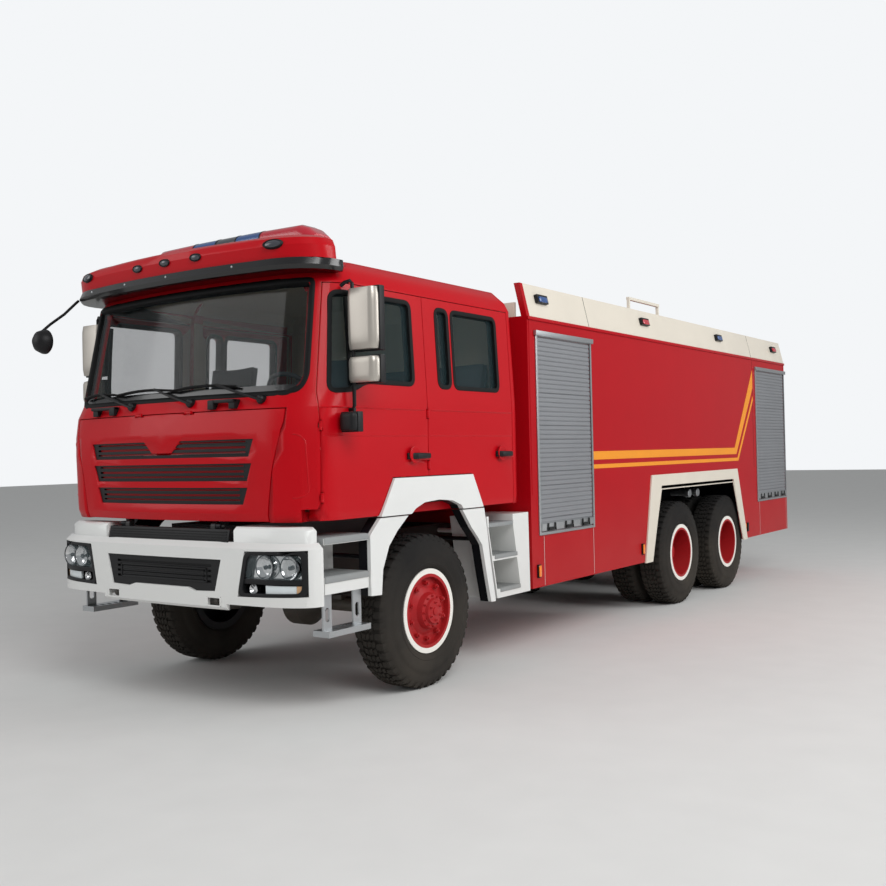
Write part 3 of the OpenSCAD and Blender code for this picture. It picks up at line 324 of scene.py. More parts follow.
@dataclass(frozen=True)
class RimPaint(PaintWithPaintedShade):
    """Wheel enamel in two colours, split at a radius from the wheel's own axle."""

    ring: str = "#e9e6df"
    ring_radius: float = 0.262
    centre: Pair = (0.0, 0.0)

    def _paint(self, tree: NodeTree, place: NodeSocket, grain: NodeSocket) -> NodeSocket:
        """Red dish with a white rim ring."""
        inner = Finish._colour(self, tree, place, grain)
        flat = place
        for operation, other in (("SUBTRACT", (0.0, *self.centre)), ("MULTIPLY", (0.0, 1.0, 1.0))):
            flat = add_node(tree, "ShaderNodeVectorMath", {"operation": operation},
                            {0: flat, 1: other}).outputs["Vector"]
        radius = add_node(
            tree, "ShaderNodeVectorMath", {"operation": "LENGTH"}, {0: flat}
        ).outputs["Value"]
        outside = add_node(
            tree, "ShaderNodeMath", {"operation": "GREATER_THAN"}, {0: radius, 1: self.ring_radius}
        ).outputs["Value"]
        return add_node(
            tree, "ShaderNodeMix", {"data_type": "RGBA"},
            {"Factor": outside, 6: inner, 7: linear(self.ring)},
        ).outputs[2]


class Finishes:
    """Every finish of the truck, built once."""

    def __init__(self) -> None:
        """Builds the materials."""
        paint = Pattern.SPRAYED
        table = [
            # acrylic two-pack over primer: deep gloss with a faint orange peel
            Finish("acrylic_cab_red", "#bb0615", 0.3, paint, 3.0, 0.02, coat=0.08, dust=0.08,
                   specular=0.16),
            Finish("acrylic_body_red", "#ae0615", 0.34, paint, 3.0, 0.02, coat=0.04, dust=0.1,
                   specular=0.12),
            Finish("acrylic_white", "#e4e5e3", 0.3, paint, 3.0, 0.02, coat=0.4, dust=0.35),
            Finish("acrylic_cream", "#e2dacb", 0.34, paint, 4.0, 0.03, coat=0.3, dust=0.2),
            # reflective film: satin, cut from a sheet and stuck on
            Finish("vinyl_film_yellow", "#f0960c", 0.4, Pattern.MOULDED, 2.0, 0.02),
            # chassis enamel: thick black alkyd, dulled by road dust
            Finish("alkyd_chassis_black", "#17171a", 0.5, Pattern.CAST, 6.0, 0.2, dust=0.6),
            Finish("grey_cast_iron", "#55575a", 0.7, Pattern.CAST, 5.0, 0.6, dust=0.5),
            # glass-filled nylon: black, fine moulded grain
            Finish("nylon_black", "#131315", 0.46, Pattern.MOULDED, 1.2, 0.08, specular=0.3),
            Finish("abs_gloss_black", "#0c0c0e", 0.2, Pattern.MOULDED, 2.0, 0.02, coat=0.3),
            Finish("nitrile_rubber_seal", "#0d0d0e", 0.62, Pattern.MOULDED, 1.5, 0.08,
                   specular=0.2),
            # carbon black tyre rubber: matt, with road dust in the tread
            Finish("tyre_rubber", "#17181a", 0.82, Pattern.CAST, 4.0, 0.2, shade=0.2, dust=0.22,
                   specular=0.15),
            Finish("anodised_aluminium", "#b5b8ba", 0.36, Pattern.BRUSHED, 1.2, 0.04,
                   metallic=0.9, stretch=Axis.Y),
            Finish("rolled_aluminium_slats", "#909296", 0.44, Pattern.BRUSHED, 1.5, 0.05,
                   metallic=0.45, stretch=Axis.Y),
            Finish("grey_lacquer", "#b9bcbb", 0.4, paint, 3.0, 0.03),
            Finish("mirror_shell_grey", "#b9b3aa", 0.3, paint, 3.0, 0.03, metallic=0.5),
            Finish("step_grey", "#8d9192", 0.55, Pattern.CAST, 6.0, 0.3, dust=0.4),
            # electroplated reflector bowl and trims
            Finish("chrome_plate", "#d9dadb", 0.08, Pattern.CLEAR, 20.0, 0.0, metallic=1.0),
            Finish("smoked_chrome", "#5e6265", 0.15, Pattern.CLEAR, 20.0, 0.0, metallic=1.0),
            Finish("zinc_plate", "#a3a6a8", 0.32, Pattern.BRUSHED, 2.0, 0.04, metallic=0.9),
            # pressed polycarbonate lenses
            *(Finish(f"polycarbonate_{name}", colour, rough, Pattern.RIBBED, grain, relief,
                     coat=0.6, glow=glow)
              for name, colour, rough, grain, relief, glow in (
                  ("red", "#b8152c", 0.12, 6.0, 0.4, 0.04),
                  ("blue", "#1f4a86", 0.12, 6.0, 0.4, 0.04),
                  ("amber", "#f08018", 0.14, 6.0, 0.4, 0.04),
                  ("smoke", "#3b3e45", 0.12, 8.0, 0.3, 0.0),
                  ("white", "#dfe6e8", 0.12, 6.0, 0.3, 0.0),
                  ("pale_amber", "#d3a679", 0.12, 6.0, 0.3, 0.0))),
            Glazing("float_glass_tinted", "#0f1a1c", 0.04, Pattern.CLEAR, 40.0, 0.0,
                    clearness=0.74),
            Glazing("float_glass_clear", "#30464a", 0.04, Pattern.CLEAR, 40.0, 0.0,
                    clearness=0.8),
            Glazing("polycarbonate_clear", "#9fb0b4", 0.05, Pattern.CLEAR, 40.0, 0.0,
                    clearness=0.93),
            # woven polyester seat cloth and moulded trim
            Finish("polyester_seat_cloth", "#4c5258", 0.9, Pattern.WOVEN, 3.0, 0.5),
            Finish("polypropylene_trim", "#3d4046", 0.6, Pattern.MOULDED, 1.5, 0.15),
            Finish("cream_headliner", "#cfc7b4", 0.85, Pattern.MOULDED, 3.0, 0.2),
            Finish("rail_yellow", "#e0b010", 0.35, paint, 3.0, 0.02, coat=0.4),
            Finish("silvered_mirror", "#c8ced2", 0.04, Pattern.CLEAR, 40.0, 0.0, metallic=1.0),
            Finish("enamel_wheel_red", "#a80f1a", 0.4, paint, 3.0, 0.03, dust=0.1, specular=0.2),
        ]
        self.made = {finish.name: finish.build() for finish in table}

    def __getitem__(self, name: str) -> Material:
        """The material of a name."""
        return self.made[name]

    def with_painted_shade(self, name: str, colour: str, centre: Point, half: Point) -> Material:
        """Paint with black painted shade inside a box of the frame."""
        paint = PaintWithPaintedShade(name, colour, 0.34, Pattern.SPRAYED, 3.0, 0.02, coat=0.04, dust=0.1,
                           specular=0.12, painted_shade_centre=centre, painted_shade_half=half)
        self.made[name] = paint.build()
        return self.made[name]

    def rim(self, name: str, station: float, disc_x: float) -> Material:
        """Two-colour wheel enamel for a station's wheel, black painted shade behind its disc."""
        enamel = RimPaint(
            name, "#a80f1a", 0.4, Pattern.SPRAYED, 3.0, 0.03, dust=0.1, specular=0.2,
            centre=(row_y(station), TYRE_RADIUS), painted_shade_half=(disc_x, FAR, FAR),
        )
        self.made[name] = enamel.build()
        return self.made[name]


def handed_over(mesh: bmesh.types.BMesh, name: str) -> Mesh:
    """Mesh data of an editable mesh, which is freed."""
    data = bpy.data.meshes.new(name)
    mesh.to_mesh(data)
    mesh.free()
    return data


class Shaper:
    """Collects the faces of one piece, in the frame's own place."""

    def __init__(self) -> None:
        """Starts an empty mesh."""
        self.mesh = bmesh.new()

    def loft(self, rings: Sequence[Sequence[Point]], closed: bool = True, caps: bool = True
             ) -> None:
        """Skins rings of equal point counts.

        Args:
            rings: The rings in order.
            closed: Whether each ring closes on itself.
            caps: Whether the first and last ring get a face.
        """
        made = [[self.mesh.verts.new(p) for p in ring] for ring in rings]
        count = len(made[0])
        last = count if closed else count - 1
        for low, high in zip(made, made[1:]):
            for i in range(last):
                j = (i + 1) % count
                self.mesh.faces.new((low[i], low[j], high[j], high[i]))
        if caps and closed:
            self.mesh.faces.new(list(reversed(made[0])))
            self.mesh.faces.new(made[-1])

    def prism(self, outline: Outline, axis: Axis, start: float, end: float) -> None:
        """Straight prism of an outline given in the two other axes, in their order.

        Args:
            outline: Corner points.
            axis: Axis that the prism runs along.
            start: Where it starts on that axis.
            end: Where it ends.
        """
        def put(point: Pair, along: float) -> list[float]:
            """Point of the outline at a distance along the axis."""
            values = list(point)
            values.insert(axis.value, along)
            return values

        self.loft([[put(p, start) for p in outline], [put(p, end) for p in outline]])

    def block(self, low: Point, high: Point) -> None:
        """Box between any two opposite corners."""
        (x0, x1), (y0, y1), (z0, z1) = (sorted(pair) for pair in zip(low, high))
        self.prism([(x0, y0), (x1, y0), (x1, y1), (x0, y1)], Axis.Z, z0, z1)

    def lens(
        self, spot: Vector, normal: Vector, up: Vector, half: Pair, round_off: float,
        stages: Sequence[Pair],
    ) -> None:
        """Domed lens with rounded corners on a side of the truck.

        Args:
            spot: Its middle on the surface.
            normal: Outward normal there.
            up: Its upward direction.
            half: Half its length and height.
            round_off: Share of an edge that its corners take.
            stages: Share of the size and distance out, from the foot to the crown.
        """
        square = soften([(-1, -1), (1, -1), (1, 1), (-1, 1)], round_off, 3)
        self.loft([
            [spot + normal * out + Vector((0, a * half[0] * share, 0)) + up * b * half[1] * share
             for a, b in square] for share, out in stages
        ])

    def turned(
        self, profile: Outline, centre: Point, axis: Axis, steps: int = 32, flip: float = 1.0
    ) -> None:
        """Body of revolution.

        Args:
            profile: Radius and distance along the axis, from end to end.
            centre: Where the distance is zero.
            axis: Axis of revolution.
            steps: Facets round the axis.
            flip: -1 measures the distances the other way.
        """
        middle = Vector(centre)
        others = [a for a in range(3) if a != axis.value]
        rings = []
        for radius, along in profile:
            ring = []
            for k in range(steps):
                turn = math.tau * k / steps
                point = middle.copy()
                point[axis.value] += along * flip
                point[others[0]] += radius * math.cos(turn)
                point[others[1]] += radius * math.sin(turn)
                ring.append(point)
            rings.append(ring)
        closed = profile[0] == profile[-1]
        self.loft(rings, caps=not closed)

    def tube(self, path: Sequence[Point], radius: float, sides: int = 12) -> None:
        """Round bar along a path.

        Args:
            path: Points of the middle line.
            radius: Radius of the bar.
            sides: Facets round it.
        """
        points = [Vector(p) for p in path]
        rings = []
        side = Vector((0, 0, 1))
        for i, point in enumerate(points):
            ahead = (points[min(i + 1, len(points) - 1)] - points[max(i - 1, 0)]).normalized()
            across = ahead.cross(side)
            if across.length < 0.2:
                across = ahead.cross(Vector((0, 1, 0.3)))
            across.normalize()
            up = across.cross(ahead)
            rings.append([
                point + radius * (across * math.cos(math.tau * k / sides)
                                  + up * math.sin(math.tau * k / sides))
                for k in range(sides)
            ])
        self.loft(rings)

    def strip(
        self, path: Sequence[Vector], normals: Sequence[Vector], profile: Outline,
        closed: bool = True,
    ) -> None:
        """Sweeps a profile along a line on a surface.

        Args:
            path: Points on the surface.
            normals: The surface's outward normals there.
            profile: Distances across the line and out from the surface.
            closed: Whether the line is a loop.
        """
        count = len(path)
        rings = []
        for i, point in enumerate(path):
            before = path[(i - 1) % count] if closed or i else path[0]
            after = path[(i + 1) % count] if closed or i < count - 1 else path[-1]
            ahead = (after - before).normalized()
            across = ahead.cross(normals[i]).normalized()
            rings.append([point + across * a + normals[i] * out for a, out in profile])
        if closed:
            rings.append(rings[0])
        self.loft(rings, caps=not closed)
        bmesh.ops.remove_doubles(self.mesh, verts=self.mesh.verts, dist=MERGE)

    def mesh_data(self, name: str, bevel: float = 0.0) -> Mesh:
        """Closes the shape, points its faces outwards and hands it over.

        Args:
            name: Name of the mesh.
            bevel: Width of the rounding of its sharp edges.

        Returns:
            The mesh data.
        """
        bmesh.ops.remove_doubles(self.mesh, verts=self.mesh.verts, dist=MERGE)
        bmesh.ops.recalc_face_normals(self.mesh, faces=self.mesh.faces)
        if bevel > 0:
            sharp = [
                e for e in self.mesh.edges
                if len(e.link_faces) == 2 and e.calc_face_angle() > math.radians(35)
            ]
            bmesh.ops.bevel(
                self.mesh, geom=sharp, offset=bevel, segments=2, affect="EDGES", profile=0.6,
                clamp_overlap=True,
            )
        return handed_over(self.mesh, name)


def soften(points: Outline, radius: float, steps: int = 4) -> list[Pair]:
    """Outline with each corner rounded.

    Args:
        points: Corner points.
        radius: Length of edge that a corner takes.
        steps: Points on each corner.

    Returns:
        The rounded outline.
    """
    rounded = []
    for i, here in enumerate(points):
        before, after = points[i - 1], points[(i + 1) % len(points)]
        ends = []
        for other in (before, after):
            length = math.dist(here, other)
            share = min(radius / length, 0.5)
            ends.append([h + (o - h) * share for h, o in zip(here, other)])
        for k in range(steps + 1):
            t = k / steps
            first = [a + (h - a) * t for a, h in zip(ends[0], here)]
            second = [h + (b - h) * t for b, h in zip(ends[1], here)]
            rounded.append(tuple(f + (s - f) * t for f, s in zip(first, second)))
    return rounded


def spread(start: float, end: float, parts: int) -> list[float]:
    """Evenly spaced values from start to end."""
    return [start + (end - start) * k / parts for k in range(parts + 1)]


def dense(points: Sequence[Pair], step: float = 0.05, closed: bool = True) -> list:
    """Outline with more points on its long edges, so that it can follow a curved surface."""
    result = []
    count = len(points)
    for i in range(count if closed else count - 1):
        here, after = points[i], points[(i + 1) % count]
        parts = max(1, round(math.dist(here, after) / step))
        result += [
            tuple(h + (a - h) * k / parts for h, a in zip(here, after)) for k in range(parts)
        ]
    if not closed:
        result.append(tuple(points[-1]))
    return result


class Skin:
    """Outer surface of some CAD nodes, found by straight rays."""

    before: float = -6.5
    beside: float = 2.5
    reach: float = 1.3
    tolerance: float = 0.12

    def __init__(self, nodes: Iterable[str]) -> None:
        """Collects the triangles of the nodes.

        Args:
            nodes: Names of CAD nodes.
        """
        points: list[Vector] = []
        faces: list[list[int]] = []
        for name in nodes:
            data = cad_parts[name].data
            base = len(points)
            points += [v.co.copy() for v in data.vertices]
            faces += [[base + i for i in p.vertices] for p in data.polygons]
        self.tree = BVHTree.FromPolygons(points, faces)

    def front(self, x: float, z: float) -> tuple[Vector, Vector]:
        """Point and outward normal hit by a ray that looks at the truck's front."""
        return self._hit(Vector((x, self.before, z)), Vector((0, 1, 0)))

    def side(self, y: float, z: float, side: int) -> tuple[Vector, Vector]:
        """Point and outward normal hit by a ray that looks at one side."""
        return self._hit(Vector((side * self.beside, y, z)), Vector((-side, 0, 0)))

    def _hit(self, start: Vector, way: Vector) -> tuple[Vector, Vector]:
        """First hit of a ray, with its normal turned towards the viewer."""
        spot, normal, _, _ = self.tree.ray_cast(start, way)
        if spot is None:
            # a ray just past an edge takes the depth of the nearest point
            near, normal, _, far = self.tree.find_nearest(start + way * self.reach)
            for _ in range(3):
                level = start + way * (near - start).dot(way)
                near, normal, _, far = self.tree.find_nearest(level)
            if far > self.tolerance:
                raise ValueError(f"nothing lies at {tuple(start)} along {tuple(way)}")
            spot = level
        return spot, normal if normal.dot(way) < 0 else -normal


def dress(
    name: str, data: Mesh, material: Material, body: str, slot: str | None = None,
    smooth: bool = True,
) -> Object:
    """Puts a finished mesh on a CAD body.

    Args:
        name: Name of the piece.
        data: Its mesh, in the frame's own place.
        material: Its finish.
        body: CAD body that it moves with.
        slot: The record's material slot; not used.
        smooth: Whether shallow angles are shaded smooth.

    Returns:
        The new object.
    """
    piece = bpy.data.objects.new(name, data)
    bpy.context.scene.collection.objects.link(piece)
    data.materials.clear()
    data.materials.append(material)
    if smooth:
        for polygon in data.polygons:
            polygon.use_smooth = True
        data.set_sharp_from_angle(angle=ROUNDED)
    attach(piece, body)
    LOG.info("%s: %d faces on %s", name, len(data.polygons), body)
    return piece


def smooth_panel(node: str, body: str, material: Material, slot: str) -> None:
    """Smoothly shaded copy of a CAD node, which takes over from it.

    Args:
        node: CAD node that is copied.
        body: Body that the node is on.
        material: Finish of the copy.
        slot: The record's material slot; passed on but not used.
    """
    mesh = bmesh.new()
    mesh.from_mesh(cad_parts[node].data)
    bmesh.ops.remove_doubles(mesh, verts=mesh.verts, dist=1e-5)
    bmesh.ops.dissolve_limit(
        mesh, angle_limit=math.radians(0.5), verts=mesh.verts, edges=mesh.edges
    )
    bmesh.ops.triangulate(mesh, faces=[face for face in mesh.faces if len(face.verts) > 4])
    data = handed_over(mesh, f"{node}_draft")
    for polygon in data.polygons:
        polygon.use_smooth = True
    data.set_sharp_from_angle(angle=math.radians(32))
    draft = bpy.data.objects.new(f"{node}_draft", data)
    bpy.context.scene.collection.objects.link(draft)
    weighted = draft.modifiers.new("weighted", "WEIGHTED_NORMAL")
    weighted.keep_sharp = True
    ready = bpy.data.meshes.new_from_object(
        draft.evaluated_get(bpy.context.evaluated_depsgraph_get())
    )
    bpy.data.objects.remove(draft)
    ready.name = f"{node}_panels"
    piece = dress(ready.name, ready, material, body, slot, smooth=False)
    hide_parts(node)


class Repeater:
    """Geometry Nodes tree that repeats a piece by a step and a turn about a pivot."""

    def __init__(self) -> None:
        """Builds the tree."""
        self.tree = bpy.data.node_groups.new("repeat_piece", "GeometryNodeTree")
        face = self.tree.interface
        face.new_socket("Geometry", in_out="INPUT", socket_type="NodeSocketGeometry")
        self.inputs = {
            name: face.new_socket(name, in_out="INPUT", socket_type=kind).identifier
            for name, kind in (
                ("Count", "NodeSocketInt"), ("Step", "NodeSocketVector"),
                ("Turn", "NodeSocketVector"), ("Pivot", "NodeSocketVector"),
                ("Finish", "NodeSocketMaterial"),
            )
        }
        face.new_socket("Geometry", in_out="OUTPUT", socket_type="NodeSocketGeometry")
        given = add_node(self.tree, "NodeGroupInput")
        index = add_node(self.tree, "GeometryNodeInputIndex").outputs[0]
        points = add_node(
            self.tree, "GeometryNodeMeshLine", {"mode": "OFFSET"},
            {"Count": given.outputs["Count"], "Offset": (0.0, 0.0, 0.0)},
        ).outputs[0]
        copies = add_node(
            self.tree, "GeometryNodeInstanceOnPoints",
            links={"Points": points, "Instance": given.outputs["Geometry"]},
        ).outputs[0]
        turned = add_node(self.tree, "GeometryNodeRotateInstances", links={
            "Instances": copies, "Rotation": self._times(given.outputs["Turn"], index),
            "Pivot Point": given.outputs["Pivot"], "Local Space": False}).outputs[0]
        moved = add_node(self.tree, "GeometryNodeTranslateInstances", links={
            "Instances": turned, "Translation": self._times(given.outputs["Step"], index),
            "Local Space": False}).outputs[0]
        real = add_node(self.tree, "GeometryNodeRealizeInstances", links={0: moved}).outputs[0]
        painted = add_node(
            self.tree, "GeometryNodeSetMaterial",
            links={"Geometry": real, "Material": given.outputs["Finish"]},
        ).outputs[0]
        add_node(self.tree, "NodeGroupOutput", links={0: painted})

    def _times(self, vector: NodeSocket, number: NodeSocket) -> NodeSocket:
        """Vector times the number of the copy."""
        return add_node(
            self.tree, "ShaderNodeVectorMath", {"operation": "SCALE"}, {0: vector, "Scale": number}
        ).outputs[0]

    def run(
        self, first: Mesh, count: int, finish: Material, step: Point = (0, 0, 0),
        turn: Point = (0, 0, 0), pivot: Point = (0, 0, 0),
    ) -> Mesh:
        """Repeats a mesh and returns the result as plain mesh data.

        Args:
            first: The first copy, in its place.
            count: How many copies there are.
            finish: Material of all of them.
            step: Shift from one copy to the next.
            turn: Turn in radians from one copy to the next.
            pivot: Point that the turn is about.

        Returns:
            One joined mesh.
        """
        carrier = bpy.data.objects.new("repeat_carrier", first)
        bpy.context.scene.collection.objects.link(carrier)
        modifier = carrier.modifiers.new("repeat", "NODES")
        modifier.node_group = self.tree
        values = {"Count": count, "Step": step, "Turn": turn, "Pivot": pivot, "Finish": finish}
        for name, value in values.items():
            modifier[self.inputs[name]] = (
                tuple(float(v) for v in value) if isinstance(value, (tuple, list)) else value
            )
        graph = bpy.context.evaluated_depsgraph_get()
        made = bpy.data.meshes.new_from_object(carrier.evaluated_get(graph))
        bpy.data.objects.remove(carrier)
        return made


def joined(parts: Iterable[Mesh]) -> Mesh:
    """One mesh of several, each with the same finish."""
    whole = bmesh.new()
    for part in parts:
        whole.from_mesh(part)
    return handed_over(whole, "joined")


@dataclass
class Kit:
    """What every sub-assembly needs: the finishes and the repeater."""

    finish: Finishes
    repeat: Repeater

    def put(
        self, name: str, shape: Shaper | Mesh, finish: str, body: str, slot: str | None = None,
        bevel: float = 0.0,
    ) -> Object:
        """Finishes a shape and puts it on a body.

        Args:
            name: Name of the piece.
            shape: The shape, or mesh data that is ready.
            finish: Name of its finish.
            body: CAD body that it moves with.
            slot: The record's material slot; passed on but not used.
            bevel: Rounding of its sharp edges.

        Returns:
            The new object.
        """
        data = shape.mesh_data(name, bevel) if isinstance(shape, Shaper) else shape
        data.name = name
        return dress(name, data, self.finish[finish], body, slot)

    def ring_of(
        self, first: Shaper, count: int, centre: Point, finish: str, bevel: float = 0.0
    ) -> Mesh:
        """Copies of a shape, evenly round the X axis through a centre."""
        return self.repeat.run(
            first.mesh_data("first", bevel), count, self.finish[finish],
            turn=(math.tau / count, 0, 0), pivot=centre,
        )

    def row_of(
        self, first: Shaper, count: int, step: Point, finish: str, bevel: float = 0.0
    ) -> Mesh:
        """Copies of a shape in a straight row."""
        return self.repeat.run(
            first.mesh_data("first", bevel), count, self.finish[finish], step=step
        )


@dataclass
class Wheels:
    """Tyres with their tread, and the nuts and studs of the rims."""

    kit: Kit
    half_width: float = 0.148
    flange: float = 0.2985
    tread_floor: float = 0.531
    shoulder_lugs: int = 46
    rib_blocks: int = 60
    front_bolts: tuple[tuple[float, float, int, float, float], ...] = (
        # how far out they stand, radius of the circle, count, half width, height
        (0.094, 0.196, 10, 0.020, 0.028), (0.156, 0.107, 12, 0.009, 0.010),
        (0.187, 0.062, 6, 0.008, 0.008))
    rear_bolts: tuple[tuple[float, float, int, float, float], ...] = (
        (-0.1545, 0.147, 10, 0.020, 0.028), (-0.0175, 0.101, 12, 0.009, 0.010))

    def build(self) -> None:
        """Dresses all six wheels."""
        for side, sign in SIDES.items():
            centre = (sign * FRONT_TRACK, row_y(0.0), TYRE_RADIUS)
            self._tyres(f"tyre_front_{side}", f"wheel_front_{side}", [centre])
            plug = Shaper()
            plug.turned([(0, 0.180), (0.030, 0.180), (0.028, 0.196), (0, 0.198)], centre, Axis.X,
                        24, sign)
            self._fixings(f"front_{side}", sign, centre, self.front_bolts,
                          plug.mesh_data("plug", 0.002))
            for axle, station in enumerate(REAR_AXLES, start=1):
                outer = (sign * REAR_TRACK, row_y(station), TYRE_RADIUS)
                inner = (sign * (REAR_TRACK - TWIN_PITCH), outer[1], outer[2])
                self._tyres(
                    f"tyres_rear_{axle}_{side}", f"wheel_rear_{axle}_{side}", [outer, inner]
                )
                self._fixings(f"rear_{axle}_{side}", sign, outer, self.rear_bolts)

    def _tyres(self, node: str, body: str, centres: Sequence[Point]) -> None:
        """Replaces a node's tyres by casings with tread blocks."""
        parts = []
        for centre in centres:
            parts.append(self._casing(centre))
            parts += [self._shoulder(centre, end) for end in (-1, 1)]
            parts += [self._rib(centre, place) for place in (-1, 0, 1)]
        piece = self.kit.put(f"{node}_tread", joined(parts), "tyre_rubber", body, "tyre")
        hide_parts(node)

    def _casing(self, centre: Point) -> Mesh:
        """Carcass with bead, sidewall ribs and the floor of the tread."""
        half = self.half_width
        side = [
            (self.flange - 0.044, 0.1215), (self.flange, 0.1215), (self.flange + 0.006, 0.132),
            (self.flange + 0.022, 0.139), (self.flange + 0.026, 0.143), (0.345, 0.146),
            (0.349, 0.1435), (0.380, 0.147), (0.404, half), (0.430, 0.1465), (0.434, 0.1435),
            (0.463, 0.139), (0.486, 0.134), (0.505, 0.126), (0.520, 0.116),
            (self.tread_floor, 0.104),
        ]
        grooves = [(0.531, 0.072), (0.527, 0.068), (0.527, 0.052), (0.531, 0.048),
                   (0.531, 0.024), (0.527, 0.020)]
        right = side + grooves
        profile = [(r, -x) for r, x in right] + [(r, x) for r, x in reversed(right)]
        shape = Shaper()
        shape.turned([*profile, profile[0]], centre, Axis.X, 72)
        return shape.mesh_data("casing")

    def _shoulder(self, centre: Point, end: int) -> Mesh:
        """Heavy blocks that run over one shoulder."""
        x = centre[0]
        half = math.pi * self.tread_floor / self.shoulder_lugs * 0.62
        shape = Shaper()
        cross = [(0.060, 0.528), (0.060, 0.5445), (0.097, 0.5435), (0.112, 0.537),
                 (0.1315, 0.500), (0.126, 0.496), (0.104, 0.526)]
        rings = []
        for along, shrink in ((-half, 0.9), (-half * 0.4, 1.0), (half * 0.4, 1.0), (half, 0.9)):
            lean = along * 0.12
            rings.append([
                (x + end * (0.096 + (a - 0.096) * shrink + lean), centre[1] + along,
                 centre[2] + r - (along * along) / (2 * r))
                for a, r in cross
            ])
        shape.loft(rings)
        return self.kit.ring_of(shape, self.shoulder_lugs, centre, "tyre_rubber")

    def _rib(self, centre: Point, place: int) -> Mesh:
        """Row of slanted blocks in the middle of the tread."""
        half = math.pi * self.tread_floor / self.rib_blocks * 0.68
        middle = centre[0] + place * 0.036
        shape = Shaper()
        rings = []
        for r in (0.524, 0.541, 0.5445):
            inset = 0.001 if r > 0.542 else 0.0
            rings.append([
                (middle + across - inset * math.copysign(1, across),
                 centre[1] + along + (0.007 if across > 0 else -0.007) * (place or 1),
                 centre[2] + r - (along * along) / (2 * r))
                for across, along in (
                    (-0.0145, -half), (0.0145, -half), (0.0145, half), (-0.0145, half))
            ])
        shape.loft(rings)
        return self.kit.ring_of(shape, self.rib_blocks, centre, "tyre_rubber")

    def _bolts(
        self, sign: int, centre: Point, out: float, radius: float, count: int, bolt: float,
        height: float,
    ) -> list[Mesh]:
        """Hexagon nuts and their studs, round the wheel's axis.

        Args:
            sign: Side of the truck.
            centre: Middle of the wheel.
            out: How far out of the middle they stand.
            radius: Radius of their circle.
            count: How many there are.
            bolt: Half the width of a nut.
            height: Height of a nut.

        Returns:
            The nuts and the studs.
        """
        at = (centre[0] + sign * out, centre[1], centre[2] + radius)
        nut, stud = Shaper(), Shaper()
        nut.turned([(0, -0.006), (bolt * 1.25, -0.006), (bolt * 1.25, 0.003), (bolt, 0.004),
                    (bolt * 0.95, height), (0, height)], at, Axis.X, 6, sign)
        stud.turned([(0, height - 0.002), (bolt * 0.5, height - 0.002),
                     (bolt * 0.45, height + 0.012), (0, height + 0.013)], at, Axis.X, 8, sign)
        return [self.kit.ring_of(each, count, centre, "enamel_wheel_red") for each in (nut, stud)]

    def _fixings(self, wheel: str, sign: int, centre: Point, rows: Sequence[tuple],
                 *others: Mesh) -> None:
        """Rings of nuts on a wheel's disc and hub.

        Args:
            wheel: Name of the wheel.
            sign: Side of the truck.
            centre: Middle of the wheel.
            rows: Place, number and size of the nuts of each ring.
            others: Further parts of the piece.
        """
        parts = [part for row in rows for part in self._bolts(sign, centre, *row)]
        self.kit.put(f"hub_fixings_{wheel}", joined([*parts, *others]), "enamel_wheel_red",
                     f"wheel_{wheel}", "wheel_red")


